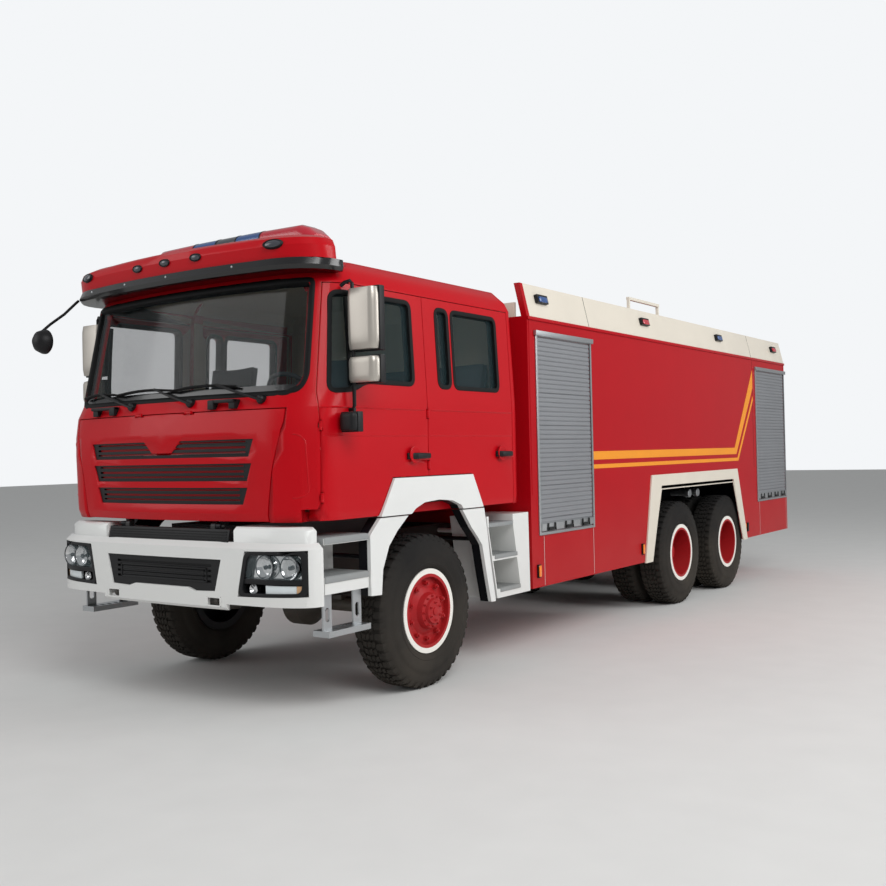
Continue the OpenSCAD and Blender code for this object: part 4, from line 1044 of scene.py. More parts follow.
@dataclass
class Bumper:
    """Lamp clusters, trims and tread plate of the white bumper."""

    kit: Kit
    lamp_outline: tuple[Pair, ...] = (
        (0.705, 0.788), (0.768, 1.074), (1.206, 1.084), (1.206, 0.800))
    bowl_radius: float = 0.070
    bowls: tuple[Pair, ...] = ((0.918, 0.977), (1.092, 0.976))
    backs: tuple[tuple[str, Pair, Pair, float, float, str, float], ...] = (
        # name, lower inner and upper outer corner, depth, thickness, finish, bevel
        ("headlamp_housing", (0.72, 0.80), (1.20, 1.075), 0.056, 0.012, "abs_gloss_black", 0.0),
        ("headlamp_divider", (0.725, 0.872), (1.195, 0.904), 0.002, 0.05, "nylon_black", 0.003),
        ("headlamp_mirror_plate", (0.785, 0.906), (1.176, 1.046), 0.042, 0.006, "chrome_plate",
         0.0))
    covers: tuple[tuple[str, Pair, Pair, float, float, str, float], ...] = (
        ("side_light", (0.924, 0.806), (1.133, 0.866), 0.012, 0.02, "polycarbonate_white", 0.003),
        ("indicator", (1.135, 0.806), (1.186, 0.866), 0.012, 0.02, "polycarbonate_pale_amber",
         0.003),
        ("headlamp_cover", (0.772, 0.900), (1.182, 1.052), 0.006, 0.003, "polycarbonate_clear",
         0.0))

    def build(self) -> None:
        """Dresses the bumper."""
        self.skin = Skin(["headlamps"])
        for side, sign in SIDES.items():
            self._cluster(side, sign)
        self._grille()
        self._tread_plate()
        self._slot_frames()

    def _spot(self, x: float, z: float, out: float) -> Vector:
        """Point before or behind the lamp glass, straight along the truck."""
        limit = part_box("headlamps")[1].x - 0.004
        spot, _ = self.skin.front(max(-limit, min(limit, x)), z)
        return Vector((x, spot.y - out, z))

    def _frame(self, sign: int, outline: Outline, inner: Outline, out: float, deep: float
               ) -> Shaper:
        """Flat frame between two outlines of equal point counts, following the bumper."""
        shape = Shaper()
        rings = []
        for ring, lift in ((outline, out), (inner, out), (inner, -deep), (outline, -deep)):
            rings.append([self._spot(sign * x, z, lift) for x, z in ring])
        rings.append(rings[0])
        shape.loft(rings, caps=False)
        return shape

    def _sheet(self, sign: int, low: Pair, high: Pair,
               depth: float, thick: float, parts: int = 14) -> Shaper:
        """Plate that follows the bumper's curve across its width."""
        shape = Shaper()
        rings = []
        for x in spread(sign * low[0], sign * high[0], parts):
            rings.append([self._spot(x, z, -deep) for z, deep in (
                (low[1], depth), (high[1], depth), (high[1], depth + thick),
                (low[1], depth + thick))])
        shape.loft(rings)
        return shape

    def _cluster(self, side: str, sign: int) -> None:
        """One headlamp: housing, bowls, lenses, fog lamp and indicator."""
        def put(name: str, shape: Shaper, finish: str, bevel: float = 0.0) -> Object:
            """Adds a piece of this headlamp."""
            return self.kit.put(f"{name}_{side}", shape, finish, "chassis", "headlamp", bevel)

        outer = dense(soften(self.lamp_outline, 0.05), 0.04)
        middle = [sum(p[i] for p in self.lamp_outline) / 4 for i in (0, 1)]
        window = [(middle[0] + (x - middle[0]) * 0.86, middle[1] + (z - middle[1]) * 0.84)
                  for x, z in outer]
        bezel = put("headlamp_bezel", self._frame(sign, outer, window, 0.006, 0.05),
                    "nylon_black", 0.003)
        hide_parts("headlamps")
        for name, low, high, depth, thick, finish, bevel in self.backs:
            put(name, self._sheet(sign, low, high, depth, thick), finish, bevel)
        bowls, bulbs, rims = Shaper(), Shaper(), Shaper()
        for x, z in self.bowls:
            centre = self._spot(sign * x, z, -0.014)
            r = self.bowl_radius
            ring = [(r + 0.004, 0.0), (r, 0.0), (r * 0.8, 0.020), (r * 0.4, 0.034),
                    (0.012, 0.037), (0.012, 0.040), (r + 0.004, 0.040)]
            bowls.turned([*ring, ring[0]], centre, Axis.Y, 36)
            rims.turned([(r + 0.007, 0.002), (r + 0.007, -0.004), (r, -0.004), (r, 0.002),
                         (r + 0.007, 0.002)], centre, Axis.Y, 36)
            bulbs.turned([(0, -0.002), (0.014, 0.002), (0.015, 0.012), (0.009, 0.020),
                          (0.009, 0.040), (0, 0.040)], centre, Axis.Y, 20)
        put("headlamp_bowls", bowls, "chrome_plate")
        put("headlamp_rings", rims, "smoked_chrome")
        put("headlamp_bulbs", bulbs, "smoked_chrome")
        fog = Shaper()
        fog.turned([(0, 0.024), (0.016, 0.022), (0.026, 0.006), (0.031, 0.0), (0.034, 0.003),
                    (0.034, 0.03), (0, 0.03)], self._spot(sign * 0.83, 0.839, -0.004), Axis.Y, 28)
        put("fog_lamp", fog, "chrome_plate")
        for name, low, high, depth, thick, finish, bevel in self.covers:
            put(name, self._sheet(sign, low, high, depth, thick), finish, bevel)

    def _grille(self) -> None:
        """Raised inner frame and fine mesh bars of the lower grille."""
        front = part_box("lower_grille")[0].y
        bars = Shaper()
        bars.block((-0.40, front - 0.003, 0.868), (0.40, front + 0.004, 0.874))
        frame = Shaper()
        for x in (-0.43, 0.42):
            frame.block((x, front - 0.004, 0.86), (x + 0.010, front + 0.004, 0.955))
        for z in (0.86, 0.945):
            frame.block((-0.43, front - 0.004, z), (0.43, front + 0.004, z + 0.010))
        self.kit.put("lower_grille_frame", frame, "nylon_black", "chassis", "black_plastic", 0.002)
        rows = self.kit.row_of(bars, 7, (0, 0, 0.0125), "nylon_black", 0.001)
        self.kit.put("lower_grille_bars", rows, "nylon_black", "chassis", "black_plastic")

    def _tread_plate(self) -> None:
        """Black step plate between the pedestals, with its ribs."""
        plate = Shaper()
        plate.prism([(row_y(-1.352), 1.122), (row_y(-1.344), 1.122), (row_y(-1.327), 1.196),
                     (row_y(-1.300), 1.199), (row_y(-1.300), 1.205), (row_y(-1.333), 1.203)],
                    Axis.X, -0.600, 0.600)
        self.kit.put("step_plate", plate, "nylon_black", "chassis", "black_plastic", 0.002)
        rib = Shaper()
        rib.prism([(row_y(-1.353), 1.136), (row_y(-1.346), 1.136), (row_y(-1.345), 1.141),
                   (row_y(-1.353), 1.141)], Axis.X, -0.58, 0.58)
        ribs = self.kit.row_of(rib, 4, (0, 0.0036, 0.016), "nylon_black")
        self.kit.put("step_plate_ribs", ribs, "nylon_black", "chassis", "black_plastic")

    def _slot_frames(self) -> None:
        """Rolled edges of the towing slots."""
        shape = Shaper()
        front = row_y(-1.386)
        for sign in SIDES.values():
            outline = soften([(0.440, 0.718), (0.440, 0.774), (0.560, 0.774), (0.560, 0.718)],
                             0.012)
            path = [Vector((sign * x, front, z)) for x, z in outline]
            shape.strip(path, [Vector((0, -1, 0))] * len(path),
                        [(-0.005, 0), (-0.005, 0.005), (0.005, 0.005), (0.005, 0)])
        self.kit.put("tow_slot_frames", shape, "acrylic_white", "chassis", "white_paint")


@dataclass
class CabFront:
    """Seals, wipers, grille bars, lamps and mirrors at the front of the cab."""

    kit: Kit
    glass_outline: tuple[Pair, ...] = (
        (-1.000, 2.070), (1.000, 2.070), (1.072, 2.100), (1.098, 2.180), (1.060, 2.780),
        (-1.060, 2.780), (-1.098, 2.180), (-1.072, 2.100))
    seal_profile: tuple[Pair, ...] = (
        (-0.024, -0.050), (-0.024, -0.004), (-0.014, 0.004), (0.006, 0.006), (0.016, 0.0),
        (0.016, -0.050))
    wiper_rows: tuple[tuple[float, float, float, float], ...] = (
        # X of the pivot and the elbow, X of the two ends of the blade
        (-0.357, -0.762, -1.02, -0.560), (0.245, -0.120, -0.55, 0.065), (0.841, 0.463, 0.05, 0.615))

    def build(self) -> None:
        """Dresses the front of the cab."""
        red = self.kit.finish["acrylic_cab_red"]
        # the cab's copy keeps the black painted shade under the cab
        smooth_panel("cab_shell", "cab", self.kit.finish["acrylic_cab_red_painted_shade"], "cab_red")
        smooth_panel("service_flap", "service_flap", red, "cab_red")
        smooth_panel("roof_fascia", "cab", red, "cab_red")
        for door in DOORS:
            smooth_panel(door, door, red, "cab_red")
        smooth_panel("sun_visor", "cab", self.kit.finish["abs_gloss_black"], "black_plastic")
        smooth_panel("bumper", "chassis", self.kit.finish["acrylic_white"], "white_paint")
        self.shell = Skin(["cab_shell", "service_flap"])
        self.full = Skin(["cab_shell", "service_flap", "windscreen", "flap_grilles"])
        self._seal()
        self._wipers()
        self._brackets()
        self._grille()
        self._creases()
        self._visor()
        self._lamps()
        self._light_bar()
        self._forward_mirror()

    def _on(self, x: float, z: float, out: float, skin: Skin | None = None) -> Vector:
        """Point at a distance off the cab's front."""
        spot, normal = (skin or self.full).front(x, z)
        return spot + normal * out

    def _seal(self) -> None:
        """Rubber seal that holds the windscreen."""
        outline = dense(soften([(x * 1.014, z + (0.012 if z > 2.5 else -0.012))
                                for x, z in self.glass_outline], 0.035, 4), 0.05)
        path, normals = zip(*(self.shell.front(x, z) for x, z in outline))
        shape = Shaper()
        shape.strip(path, normals, self.seal_profile)
        self.kit.put("windscreen_seal", shape, "nitrile_rubber_seal", "cab", "black_plastic")
        # black sheet from the sun visor down to the seal: painted shade cast by the visor, reaching
        # lower at the corners
        shade_band, rings = Shaper(), []
        for x in spread(-1.125, 1.125, 40):
            droop = 0.034 * max(0.0, (abs(x) - 0.88) / 0.245)
            rings.append([self._on(x, z, out, self.shell) for z, out in (
                (2.796 - droop, 0.003), (2.900, 0.003), (2.900, -0.001), (2.796 - droop, -0.001))])
        shade_band.loft(rings)
        self.kit.put("windscreen_painted_shade_band", shade_band, "abs_gloss_black", "cab", "black_plastic")
        band = Shaper()
        band.loft([
            [self._on(x, z, out) for z, out in (
                (2.076, 0.002), (2.115, 0.002), (2.115, -0.001), (2.076, -0.001))]
            for x in spread(-1.06, 1.06, 24)
        ])
        self.kit.put("windscreen_black_band", band, "abs_gloss_black", "cab", "black_plastic")

    def _wipers(self) -> None:
        """Three wipers that rest along the bottom of the glass."""
        arms, blades = Shaper(), Shaper()
        for pivot, elbow, low, high in self.wiper_rows:
            base = self._on(pivot, 2.018, 0.018)
            joint = self._on(elbow, 2.128, 0.052)
            arms.turned([(0, -0.03), (0.030, -0.03), (0.030, 0.004), (0.022, 0.014), (0, 0.016)],
                        base, Axis.Y, 20, -1)
            arms.tube([base + Vector((0.03, -0.012, -0.01)), base + Vector((0, -0.02, 0)),
                       base.lerp(joint, 0.45) + Vector((0, -0.022, 0)), joint], 0.0085, 8)
            span = [self._on(low + (high - low) * k / 8, 2.112 + 0.018 * math.sin(math.pi * k / 8),
                             0.036) for k in range(9)]
            blades.tube(span, 0.009, 6)
            blades.tube([p + (q - p) * 0.02 + Vector((0, 0.016, -0.004))
                         for p, q in zip(span, span[1:] + span[-1:])], 0.006, 6)
        self.kit.put("wiper_arms", arms, "nylon_black", "cab", "black_plastic")
        self.kit.put("wiper_blades", blades, "nitrile_rubber_seal", "cab", "black_plastic")

    def _brackets(self) -> None:
        """Grab and step brackets under the windscreen."""
        shape = Shaper()
        for x0, x1 in ((-0.790, -0.525), (0.435, 0.668)):
            for x in (x0, x1 - 0.055):
                foot = self._on(x + 0.027, 1.992, 0.0)
                shape.block((x, foot.y - 0.034, 1.974), (x + 0.055, foot.y + 0.02, 2.034))
            middle = self._on((x0 + x1) / 2, 2.02, 0.0)
            shape.block((x0, middle.y - 0.052, 2.014), (x1, middle.y - 0.018, 2.036))
        self.kit.put("front_step_brackets", shape, "nylon_black", "cab", "black_plastic", 0.005)

    def _grille(self) -> None:
        """Inner frame lines of the three intake slots."""
        shape = Shaper()
        for low, high, half in ((1.362, 1.470, 0.69), (1.512, 1.624, 0.73), (1.666, 1.778, 0.75)):
            for z in (low + 0.020, high - 0.024):
                for sign in (-1, 1):
                    start = 0.20 if low > 1.6 else 0.0
                    span = [self._on(sign * x, z, 0.001) for x in spread(start, half, 12)]
                    shape.tube([p + Vector((0, 0.002, 0)) for p in span], 0.004, 6)
        self.kit.put("intake_slot_bars", shape, "nylon_black", "service_flap", "black_plastic")

    def _creases(self) -> None:
        """Pressed lines of the corner panels."""
        for side, sign in SIDES.items():
            line = soften([(1.050, 1.800), (1.118, 1.800), (1.150, 1.760), (1.158, 1.44),
                           (1.130, 1.408), (1.045, 1.402)], 0.03)[4:-4]
            path, normals = zip(*(self.shell.front(sign * x, z)
                                  for x, z in dense(line, 0.03, closed=False)))
            shape = Shaper()
            shape.strip(path, normals, [(-0.008, -0.002), (0.0, 0.0035), (0.008, -0.002)],
                        closed=False)
            self.kit.put(f"corner_crease_{side}", shape, "acrylic_cab_red", "cab", "cab_red")

    def _visor(self) -> None:
        """Fixing screws of the sun visor."""
        skin = Skin(["sun_visor"])
        shape = Shaper()
        for x in (-0.86, -0.43, 0.02, 0.62):
            spot, _ = skin.front(x, 2.885)
            shape.turned([(0, -0.002), (0.009, -0.002), (0.009, 0.002), (0.005, 0.004), (0, 0.004)],
                         spot, Axis.Y, 12, -1)
        self.kit.put("visor_screws", shape, "zinc_plate", "cab", "black_plastic")

    def _lamps(self) -> None:
        """Small clearance lamps and the oval marker lamps of the fascia."""
        skin = Skin(["roof_fascia"])
        rims, lenses = Shaper(), Shaper()
        for x, z, wide, tall in ((-0.292, 2.980, 0.050, 0.026), (0.0, 2.984, 0.050, 0.026),
                                 (0.296, 2.986, 0.050, 0.026), (0.937, 2.998, 0.074, 0.032),
                                 (-0.937, 2.998, 0.074, 0.032)):
            spot, normal = skin.front(x, z)
            across = Vector((0, 0, 1)).cross(normal).normalized()
            up = normal.cross(across)

            def ring(share: float, out: float) -> list[Vector]:
                """Oval around the lamp's middle."""
                return [spot + normal * out + across * wide * share * math.cos(math.tau * k / 28)
                        + up * tall * share * math.sin(math.tau * k / 28) for k in range(28)]

            rims.loft([ring(1.0, -0.01), ring(1.0, 0.008), ring(0.93, 0.012), ring(0.82, 0.010),
                       ring(0.82, -0.01)])
            lenses.loft([ring(0.82, -0.008), ring(0.82, 0.006), ring(0.6, 0.014), ring(0.2, 0.018)])
        self.kit.put("clearance_lamp_rims", rims, "nylon_black", "cab", "black_plastic")
        self.kit.put("clearance_lamp_lenses", lenses, "polycarbonate_smoke", "cab", "lamp_lens")

    def _light_bar(self) -> None:
        """Coloured domes of the beacon bar on its base."""
        low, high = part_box("light_bar")
        y0, y1, foot = low.y, high.y, 3.114
        middle = (y0 + y1) / 2
        base = Shaper()
        base.block((low.x + 0.03, y0 + 0.02, 3.088), (high.x - 0.03, y1 - 0.02, 3.116))
        for sign in (-1, 1):
            base.block((sign * 0.47 - 0.03, y0 + 0.04, 2.915),
                       (sign * 0.47 + 0.03, y1 - 0.04, 3.09))
        piece = self.kit.put("beacon_base", base, "nylon_black", "cab", "lamp_lens", 0.004)
        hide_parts("light_bar")

        def outline(x: float) -> list[Pair]:
            """Cross section of the domes at an X value."""
            reach = min(abs(x), 0.82)
            top = 3.252 - 0.008 * max(0.0, (reach - 0.28) / 0.45)
            if reach > 0.73:
                top = 3.244 - 0.074 * (reach - 0.73) / 0.09
            half = (y1 - y0) / 2 * (1 - 0.15 * max(0.0, reach - 0.70) / 0.12)
            return soften([(middle - half, foot), (middle - half * 0.94, top - 0.035),
                           (middle - half * 0.62, top), (middle + half * 0.62, top),
                           (middle + half * 0.94, top - 0.035), (middle + half, foot)], 0.03, 3)

        for name, start, end in (("red_right", -0.82, -0.345), ("blue_right", -0.34, -0.105),
                                 ("smoke_middle", -0.10, 0.10), ("blue_left", 0.105, 0.34),
                                 ("red_left", 0.345, 0.82)):
            dome = Shaper()
            dome.loft([[(x, y, z) for y, z in outline(x)] for x in spread(start, end, 8)])
            colour = name.split("_")[0]
            self.kit.put(f"beacon_{name}", dome, f"polycarbonate_{colour}", "cab", "lamp_lens")
        cap = Shaper()
        for x in (-0.3425, -0.1025, 0.1025, 0.3425):
            cap.loft([[(x + d, middle + (y - middle) * 1.01, foot + (z - foot) * 1.015)
                       for y, z in outline(x)] for d in (-0.006, 0.006)])
        self.kit.put("beacon_joints", cap, "nylon_black", "cab", "lamp_lens")

    def _forward_mirror(self) -> None:
        """Round front mirror in its housing, on a bent arm."""
        centre = Vector((-1.13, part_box("forward_mirror")[0].y + 0.09, 2.53))
        shell = Shaper()
        shell.turned([(0, -0.088), (0.040, -0.080), (0.072, -0.055), (0.089, -0.010),
                      (0.089, 0.006), (0.083, 0.012), (0.080, 0.004), (0, 0.002)], centre, Axis.Y,
                     36)
        shell.tube([centre + Vector((0.0, -0.02, 0.075)), centre + Vector((-0.01, 0.05, 0.13)),
                    (-1.150, row_y(-1.290), 2.750), (-1.158, row_y(-1.185), 2.842),
                    (-1.158, row_y(-1.161), 2.862)], 0.010, 10)
        piece = self.kit.put("forward_mirror_housing", shell, "nylon_black", "cab", "black_plastic")
        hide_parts("forward_mirror")
        face = Shaper()
        face.turned([(0, 0.012), (0.050, 0.009), (0.081, 0.001), (0, -0.004)], centre, Axis.Y, 36)
        self.kit.put("forward_mirror_face", face, "silvered_mirror", "cab", "black_plastic")


class Door:
    """One door of the cab, with its outer surface and what is put on it."""

    def __init__(self, kit: Kit, row: str, side: str) -> None:
        """Finds the door's surface.

        Args:
            kit: Finishes and repeater.
            row: Whether it is a "front" or a "rear" door.
            side: Side of the truck.
        """
        self.kit = kit
        self.tail = f"{row}_{side}"
        self.body = f"door_{self.tail}"
        self.sign = SIDES[side]
        self.skin = Skin([self.body])

    def put(self, name: str, shape: Shaper, finish: str, slot: str, bevel: float = 0.0) -> None:
        """Adds a piece to the door."""
        self.kit.put(f"{name}_{self.tail}", shape, finish, self.body, slot, bevel)

    def strip(self, shape: Shaper, line: Outline, profile: Outline, closed: bool = False) -> None:
        """Sweeps a profile along a line of stations and heights on the door."""
        hits = [self.skin.side(row_y(s), z, self.sign) for s, z in line]
        shape.strip([spot for spot, _ in hits], [normal for _, normal in hits], profile, closed)


@dataclass
class CabSides:
    """Seals, handles, mirrors and pressed lines of the doors."""

    kit: Kit
    front_pane: tuple[Pair, ...] = (
        (-1.042, 2.075), (-0.820, 2.092), (-0.700, 2.148), (-0.200, 2.148), (-0.200, 2.702),
        (-0.952, 2.702))
    quarter_pane: tuple[Pair, ...] = (
        (0.120, 2.143), (0.252, 2.143), (0.252, 2.690), (0.120, 2.690))
    rear_pane: tuple[Pair, ...] = (
        (0.320, 2.143), (0.905, 2.143), (0.905, 2.690), (0.320, 2.690))
    heads: tuple[tuple[float, ...], ...] = (
        # X and station of the middle, bottom, width, height, depth
        (1.365, -0.875, 2.316, 0.250, 0.415, 0.110), (1.365, -0.875, 2.109, 0.250, 0.185, 0.110),
        (1.330, -0.990, 1.803, 0.140, 0.134, 0.090))
    rim: float = 0.012
    handle_z: float = 1.646

    def build(self) -> None:
        """Dresses the four doors."""
        for side, sign in SIDES.items():
            front, rear = Door(self.kit, "front", side), Door(self.kit, "rear", side)
            self._pane_seal(front, self.front_pane, "window")
            self._pane_seal(rear, self.quarter_pane, "quarter")
            self._pane_seal(rear, self.rear_pane, "window")
            self._lines(front, -1.118, -0.060)
            self._lines(rear, -0.030, 1.080)
            self._handle(front, -0.298, -0.070)
            self._handle(rear, 0.838, 1.060)
            self._mirrors(side, sign)
            self._division(side, sign)

    def _pane_seal(self, door: Door, pane: Outline, name: str) -> None:
        """Black rubber seal round a pane."""
        middle = [(min(p[i] for p in pane) + max(p[i] for p in pane)) / 2 for i in (0, 1)]
        grown = [(s + math.copysign(0.012, s - middle[0]), z + math.copysign(0.012, z - middle[1]))
                 for s, z in pane]
        seal = Shaper()
        door.strip(seal, dense(soften(grown, 0.06, 5), 0.05),
                   [(-0.020, -0.064), (-0.020, 0.002), (-0.006, 0.006), (0.010, 0.004),
                    (0.014, -0.004), (0.014, -0.064)], closed=True)
        door.put(f"{name}_seal", seal, "nitrile_rubber_seal", "black_plastic")

    def _lines(self, door: Door, start: float, end: float) -> None:
        """Pressed swage lines across a door."""
        shape = Shaper()
        for z, height in ((1.966, 0.005), (1.786, 0.003)):
            door.strip(shape, [(s, z) for s in spread(start, end, 30)],
                       [(-0.009, -0.002), (0.0, height), (0.009, -0.002)])
        door.put("swage_lines", shape, "acrylic_cab_red", "cab_red")

    def _handle(self, door: Door, start: float, end: float) -> None:
        """Pull handle over its round finger dish."""
        dish = Shaper()
        middle, _ = door.skin.side(row_y(start + 0.062), self.handle_z + 0.009, door.sign)
        dish.turned([(0.058, -0.006), (0.058, 0.0005), (0.054, 0.0016), (0.048, 0.001),
                     (0.02, 0.0008), (0, 0.0008)], middle, Axis.X, 36, door.sign)
        door.put("handle_dish", dish, "acrylic_cab_red", "cab_red")
        pull = Shaper()
        rings = []
        for t in spread(0.0, 1.0, 8):
            y = row_y(start + (end - start) * t)
            x = door.skin.side(y, self.handle_z, door.sign)[0].x
            out = 0.012 + 0.020 * math.sin(math.pi * min(t * 1.15, 1.0)) ** 0.5
            tall = 0.024 - 0.004 * t
            outline = soften([(0.0, -tall), (out, -tall * 0.8), (out, tall * 0.8), (0.0, tall)],
                             0.006, 2)
            rings.append([(x + door.sign * a, y, self.handle_z + b) for a, b in outline])
        pull.loft(rings)
        door.put("door_handle", pull, "nylon_black", "black_plastic", 0.002)

    def _division(self, side: str, sign: int) -> None:
        """Bar between the front door's quarter light and its main pane."""
        glass = Skin([f"glass_front_{side}"])
        line = zip(spread(-0.858, -0.846, 8), spread(2.11, 2.685, 8))
        path, normals = zip(*(glass.side(row_y(s), z, sign) for s, z in line))
        shape = Shaper()
        shape.strip(path, normals, [(-0.013, -0.006), (-0.013, 0.010), (0.013, 0.010),
                                    (0.013, -0.006)], closed=False)
        self.kit.put(f"quarter_light_bar_{side}", shape, "nitrile_rubber_seal",
                     f"door_front_{side}", "black_plastic")

    def _mirrors(self, side: str, sign: int) -> None:
        """Mirror heads with their glasses, stay and knuckles."""
        large, kerb, rims, glasses = Shaper(), Shaper(), Shaper(), Shaper()
        for x, s, z, wide, tall, deep in self.heads:
            half, face = wide / 2, row_y(s) + deep / 2
            outline = soften([(-half, deep / 2), (-half * 0.98, -deep * 0.15),
                              (-wide * 0.40, -deep / 2), (wide * 0.40, -deep / 2),
                              (half * 0.98, -deep * 0.15), (half, deep / 2)], 0.03, 3)
            rings = []
            for t in spread(0.0, 1.0, 8):
                swell = 0.95 - 0.06 * abs(2 * t - 1) ** 8
                rings.append([(sign * (x + a * swell),
                               face + (b - deep / 2) * (swell if b < deep / 2 else 1),
                               z + 0.012 + (tall - 0.024) * t) for a, b in outline])
            (large if wide > 0.2 else kerb).loft(rings)
            rims.block((sign * x - half, face - 0.050, z + 0.003),
                       (sign * x + half, face + 0.002, z + tall - 0.003))
            glasses.block((sign * x - half + self.rim, face, z + self.rim),
                          (sign * x + half - self.rim, face + 0.004, z + tall - self.rim))
        stay = Shaper()
        post = (sign * 1.290, row_y(-0.895))
        stay.tube([(sign * 1.212, row_y(-0.915), 2.742), (sign * 1.240, row_y(-0.910), 2.762),
                   (sign * 1.275, row_y(-0.897), 2.772), (*post, 2.755), (*post, 2.5), (*post, 2.2),
                   (*post, 1.975), (sign * 1.278, post[1], 1.953), (sign * 1.248, post[1], 1.950)],
                  0.0125, 12)
        stay.tube([(*post, 1.96), (sign * 1.296, row_y(-0.915), 1.905),
                   (sign * 1.330, row_y(-0.975), 1.885)], 0.0115, 10)
        for z in (2.40, 2.62, 2.20):
            stay.block((post[0] - 0.022, post[1] - 0.022, z - 0.02),
                       (post[0] + 0.022, post[1] + 0.022, z + 0.02))
        pieces = [
            self.kit.put(f"{name}_{side}", shape, finish, f"door_front_{side}", "black_plastic",
                         bevel)
            for name, shape, finish, bevel in (
                ("mirror_housings", large, "mirror_shell_grey", 0.004),
                ("kerb_mirror", kerb, "nylon_black", 0.004),
                ("mirror_rims", rims, "nylon_black", 0.006),
                ("mirror_glasses", glasses, "silvered_mirror", 0.001),
                ("mirror_stay", stay, "nylon_black", 0.002))
        ]
        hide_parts(f"mirror_{side}")


@dataclass
class Interior:
    """Cushions, linings and rail inside the crew cab."""

    kit: Kit
    floor: float = 1.310
    seats: tuple[tuple[str, float, float, float, int], ...] = (
        # name, X of the middle, half width, station of the front edge, number of places
        ("driver", 0.600, 0.245, -0.700, 1), ("passenger", -0.600, 0.245, -0.700, 1),
        ("bench", 0.0, 1.070, 0.480, 4))

    def build(self) -> None:
        """Builds the seats and linings."""
        self._frames()
        for name, x, half, start, places in self.seats:
            self._cushion(f"{name}_seat_pad", (x, row_y(start + 0.250), self.floor + 0.280),
                          (half, 0.250, 0.070), 0.04, places)
            self._cushion(f"{name}_back_pad", (x, row_y(start + 0.527), self.floor + 0.690),
                          (half - 0.01, 0.055, 0.375), 0.155, places, upright=True)
        self._rail()
        self._lining("cab_shell", "cab")
        for door in DOORS:
            self._lining(door, door)

    def _frames(self) -> None:
        """Seat bases of folded sheet, which take over from the plain seats."""
        shape = Shaper()
        for _, x, half, start, _ in self.seats:
            y = row_y(start)
            shape.block((x - half + 0.06, y + 0.06, self.floor),
                        (x + half - 0.06, y + 0.40, self.floor + 0.205))
            shape.prism([(y + 0.47, self.floor + 0.24), (y + 0.50, self.floor + 0.24),
                         (y + 0.625, self.floor + 1.00), (y + 0.60, self.floor + 1.00)],
                        Axis.X, x - half + 0.05, x + half - 0.05)
        piece = self.kit.put("seat_frames", shape, "polypropylene_trim", "cab", "seat_fabric",
                             0.006)
        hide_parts("seats")

    def _cushion(self, name: str, centre: Point, half: Point, tilt: float, places: int,
                 upright: bool = False) -> None:
        """Crowned pad whose sides pull in, with a sewn channel between places.

        Args:
            name: Name of the piece.
            centre: Its middle.
            half: Half sizes along X, Y and Z.
            tilt: Lean backwards in radians.
            places: Number of sitting places.
            upright: Whether it is a back, whose soft side faces forwards.
        """
        grid = bmesh.new()
        bmesh.ops.create_cube(grid, size=2.0)
        bmesh.ops.subdivide_edges(grid, edges=grid.edges[:], cuts=15, use_grid_fill=True)
        thin, long, way = (1, 2, 1) if upright else (2, 1, -1)
        for vert in grid.verts:
            a, b, c = vert.co[0], vert.co[long], vert.co[thin]
            crown = (1 - a**4) * (1 - b**4)
            edge = max(abs(a), abs(b))
            lip = 1 - 0.30 * max(0.0, (edge - 0.86) / 0.14) ** 2
            seam = sum(math.exp(-(((a + 1) / 2 * places - k) / 0.05) ** 2)
                       for k in range(1, places))
            seam += 0.6 * math.exp(-((b - 0.35) / 0.06) ** 2)
            c = c * (0.74 + 0.26 * crown) * lip - 0.16 * min(seam, 1.0) * math.copysign(1, c) * (
                0.0 if edge > 0.93 else 1.0)
            a2 = a * (1 - 0.030 * (1 - b * b)) * (1 - 0.05 * (1 - abs(c)) * (abs(a) > 0.99))
            b2 = b * (1 - 0.040 * (1 - a * a))
            local = [0.0, 0.0, 0.0]
            local[0] = a2 * half[0]
            local[long] = b2 * half[long]
            local[thin] = c * half[thin]
            y = local[1] * math.cos(tilt) + local[2] * math.sin(tilt) * way
            z = local[2] * math.cos(tilt) - local[1] * math.sin(tilt) * way
            vert.co = Vector((centre[0] + local[0], centre[1] + y, centre[2] + z))
        bmesh.ops.smooth_vert(grid, verts=grid.verts, factor=0.35, use_axis_x=True, use_axis_y=True,
                              use_axis_z=True)
        bmesh.ops.recalc_face_normals(grid, faces=grid.faces)
        piece = self.kit.put(name, handed_over(grid, name), "polyester_seat_cloth", "cab",
                             "seat_fabric")

    def _rail(self) -> None:
        """Yellow grab rail behind the front seats."""
        shape = Shaper()
        y = row_y(-0.02)
        points = [(x, y, 1.98) for x in (-0.95, -0.5, 0.0, 0.5, 0.95)]
        shape.tube([(-1.0, y, 1.34), (-1.0, y, 1.92), *points, (1.0, y, 1.92), (1.0, y, 1.34)],
                   0.017, 12)
        self.kit.put("crew_grab_rail", shape, "rail_yellow", "cab", "step_aluminium")

    def _lining(self, node: str, body: str) -> None:
        """Cream lining on the faces that look at the cab's inside.

        Args:
            node: CAD node whose inner faces are lined.
            body: Body that the node is on.
        """
        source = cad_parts[node].data
        low, high = Vector((-0.9, row_y(-0.75), 1.75)), Vector((0.9, row_y(0.70), 2.40))
        mesh = bmesh.new()
        made: dict[int, bmesh.types.BMVert] = {}
        for polygon in source.polygons:
            middle = polygon.center
            target = Vector([min(max(middle[i], low[i]), high[i]) for i in range(3)])
            way = target - middle
            if way.length < 0.02 or polygon.normal.dot(way.normalized()) < 0.80:
                continue
            shift = polygon.normal * 0.0012
            corners = []
            for index in polygon.vertices:
                if index not in made:
                    made[index] = mesh.verts.new(source.vertices[index].co + shift)
                corners.append(made[index])
            try:
                mesh.faces.new(corners)
            except ValueError:
                continue
        bmesh.ops.remove_doubles(mesh, verts=mesh.verts, dist=1e-5)
        name = f"lining_{node}"
        self.kit.put(name, handed_over(mesh, name), "cream_headliner", body, "dash_plastic")


